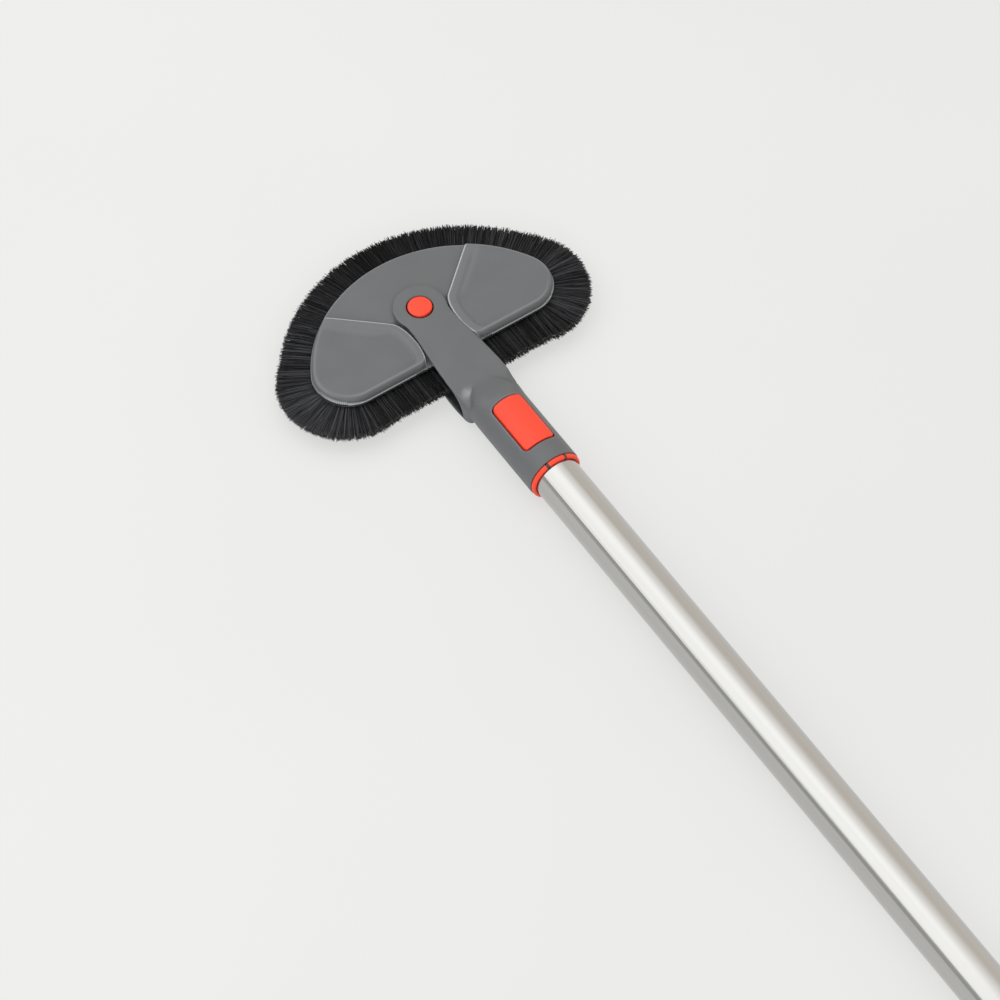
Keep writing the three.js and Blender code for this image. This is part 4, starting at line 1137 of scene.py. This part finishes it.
def grip():
    """Soft grip: a slight swell with ribs across it and a collar at the back."""
    along = np.linspace(0, 1, GRIP_ROWS)
    y = GRIP_FRONT_Y + (GRIP_BACK_Y - GRIP_FRONT_Y) * along
    fuller = GRIP_R - GRIP_NECK_R
    swell = fuller * np.sin(math.pi * np.clip((along - SWELL_FROM) / SWELL_RUN, 0, 1)) ** SWELL_CURVE
    collar = fuller * eased((along - COLLAR_FROM) / COLLAR_RUN)
    ends = FRONT_ROUND * (1 - rounded(along / FRONT_RUN))
    ends = ends + BACK_ROUND * (1 - rounded((1 - along) / BACK_RUN))
    ribbed = eased((along - RIB_FROM) / RIB_FADE) * eased((RIB_TO - along) / RIB_FADE)
    wave = np.cos(2 * math.pi * RIB_COUNT * (along - RIB_FROM) / (RIB_TO - RIB_FROM))
    ribs = RIB_DEPTH * ribbed * eased(wave * RIB_SHARP - RIB_CUT)
    radius = np.minimum(GRIP_NECK_R + swell + collar, GRIP_R) - ends - ribs
    profile = [(GRIP_INNER_R, y[0]), *zip(radius, y), (GRIP_INNER_R, y[-1])]
    new_piece("grip", *turned(profile, GRIP_STEPS), "hand_grip", sharp=40)


def collet_slot_shade():
    """Painted shade for the collet's slots: a thin dark sleeve inside the collet, with a dark key in each slot."""
    points, faces = turned([(SHADE_SLEEVE_INNER_R, SHADE_SLEEVE_FRONT_Y), (SHADE_SLEEVE_R, SHADE_SLEEVE_FRONT_Y),
                            (SHADE_SLEEVE_R, SHADE_SLEEVE_BACK_Y), (SHADE_SLEEVE_INNER_R, SHADE_SLEEVE_BACK_Y)], SHADE_SLEEVE_STEPS)
    box = ((0, 1, 3, 2), (4, 6, 7, 5), (0, 4, 5, 1), (2, 3, 7, 6), (0, 2, 6, 4), (1, 5, 7, 3))
    for turn in (COLLET_SLOT_ANGLE, -COLLET_SLOT_ANGLE):
        for out in (1, -1):
            radial = np.array([math.sin(turn), 0, math.cos(turn)]) * out
            across = np.array([math.cos(turn), 0, -math.sin(turn)])
            corners = [radial * r + across * w + [0, y, 0]
                       for r in SHADE_KEY_R for w in (-SHADE_KEY_HALF, SHADE_KEY_HALF) for y in SHADE_KEY_Y]
            faces += [tuple(len(points) + i for i in f) for f in box]
            points = np.vstack([points, corners])
    new_piece("collet_slot_shade", points, faces, "collet_ring", slot="grey_rubber")


# The brush
head_shell()
arm()
grip()
collet_slot_shade()
for label, side, far in (("near_left", -1, False), ("near_right", 1, False),
                         ("far_left", -1, True), ("far_right", 1, True)):
    bristles("fringe_" + label, "bristles_" + label, side, far)
for label, round_mm in EDGE_ROUNDS.items():
    refined(label, round_mm)
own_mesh(refined("button_spring"))
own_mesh(refined("pivot_spring"))


# Stage and light
def pale_floor():
    """A matt floor that takes shadows, and shows its own pale tone to the camera and in reflections."""
    mesh = bpy.data.meshes.new("floor")
    corners = ((-1, -1), (1, -1), (1, 1), (-1, 1))
    mesh.from_pydata([(FLOOR_HALF * x, FLOOR_HALF * y, FLOOR_Z) for x, y in corners], [], [(0, 1, 2, 3)])
    material, nodes, links, shader = new_material("pale_floor")
    shader.inputs["Roughness"].default_value = FLOOR_ROUGH
    shader.inputs["Specular IOR Level"].default_value = FLOOR_SHINE
    cloud = mapped(nodes, links, noise(nodes, links, FLOOR_CLOUD), NOISE_MIDDLE, (0, 1))
    pale = tinted(nodes, links, cloud, FLOOR_DARK, FLOOR_LIGHT)
    links.new(pale, shader.inputs["Base Color"])
    glow = nodes.new("ShaderNodeEmission")
    links.new(pale, glow.inputs["Color"])
    ray = nodes.new("ShaderNodeLightPath").outputs
    seen = worked(nodes, links, "MAXIMUM", ray["Is Camera Ray"], ray["Is Glossy Ray"])
    seen = worked(nodes, links, "MAXIMUM", seen, ray["Is Transmission Ray"])
    either = nodes.new("ShaderNodeMixShader")
    links.new(worked(nodes, links, "MULTIPLY", seen, FLOOR_GLOW), either.inputs[0])
    links.new(shader.outputs[0], either.inputs[1])
    links.new(glow.outputs[0], either.inputs[2])
    links.new(either.outputs[0], nodes["Material Output"].inputs["Surface"])
    mesh.materials.append(material)
    in_scene("floor", mesh)


def pale_surround():
    """A plain surround, brighter and warmer on the right."""
    world = bpy.data.worlds.new("studio")
    bpy.context.scene.world = world
    world.use_nodes = True
    nodes, links = world.node_tree.nodes, world.node_tree.links
    place = nodes.new("ShaderNodeTexCoord")
    parts = nodes.new("ShaderNodeSeparateXYZ")
    links.new(place.outputs["Generated"], parts.inputs[0])
    level = mapped(nodes, links, parts.outputs["X"], (-1, 1), SURROUND)
    warmth = mapped(nodes, links, parts.outputs["X"], WARM_FROM_TO, (0, 1))
    links.new(level, nodes["Background"].inputs["Strength"])
    links.new(tinted(nodes, links, warmth, COOL, WARM), nodes["Background"].inputs["Color"])


def soft_light(name, spot, target, size, radiance):
    """A rectangular light at `spot` that faces `target`."""
    light = bpy.data.lights.new(name, "AREA")
    light.shape = "RECTANGLE"
    light.size, light.size_y = size
    light.energy = radiance * math.pi * size[0] * size[1]
    lamp = in_scene(name, light)
    lamp.location = spot
    lamp.rotation_euler = (target - spot).to_track_quat("-Z", "Y").to_euler()
    return light


def fade_right(light):
    """Lets a wide light fade out towards its right end."""
    light.use_nodes = True
    nodes, links = light.node_tree.nodes, light.node_tree.links
    place = nodes.new("ShaderNodeNewGeometry")
    parts = nodes.new("ShaderNodeSeparateXYZ")
    links.new(place.outputs["Parametric"], parts.inputs[0])
    fade = mapped(nodes, links, parts.outputs["X"], BOX_FADE, (1, 0))
    links.new(worked(nodes, links, "POWER", fade, BOX_FADE_CURVE), nodes["Emission"].inputs["Strength"])


def photo_camera():
    """The photographed view: turned round the pivot, then shifted sideways and up."""
    back = Vector((math.sin(AZIMUTH) * math.cos(ELEVATION), -math.cos(AZIMUTH) * math.cos(ELEVATION),
                   math.sin(ELEVATION)))
    right = Vector((math.cos(AZIMUTH), math.sin(AZIMUTH), 0))
    up = back.cross(right)
    across = right * math.cos(ROLL) + up * math.sin(ROLL)
    upward = up * math.cos(ROLL) - right * math.sin(ROLL)
    data = bpy.data.cameras.new("camera")
    data.sensor_width = SENSOR_MM
    data.lens = SENSOR_MM * FOCAL_PX / PICTURE_PX
    camera = in_scene("camera", data)
    spot = PIVOT + back * DISTANCE + across * SHIFT_RIGHT + upward * SHIFT_UP
    camera.matrix_world = Matrix.Translation(spot) @ Matrix((across, upward, back)).transposed().to_4x4()
    return camera


pale_floor()
pale_surround()
soft_light("fill", FILL_SPOT, FILL_TARGET, FILL_SIZE, FILL_RADIANCE)
fade_right(soft_light("softbox", BOX_SPOT, BOX_TARGET, BOX_SIZE, BOX_RADIANCE))
bpy.context.scene.camera = photo_camera()
bpy.context.scene.view_settings.view_transform = "Standard"
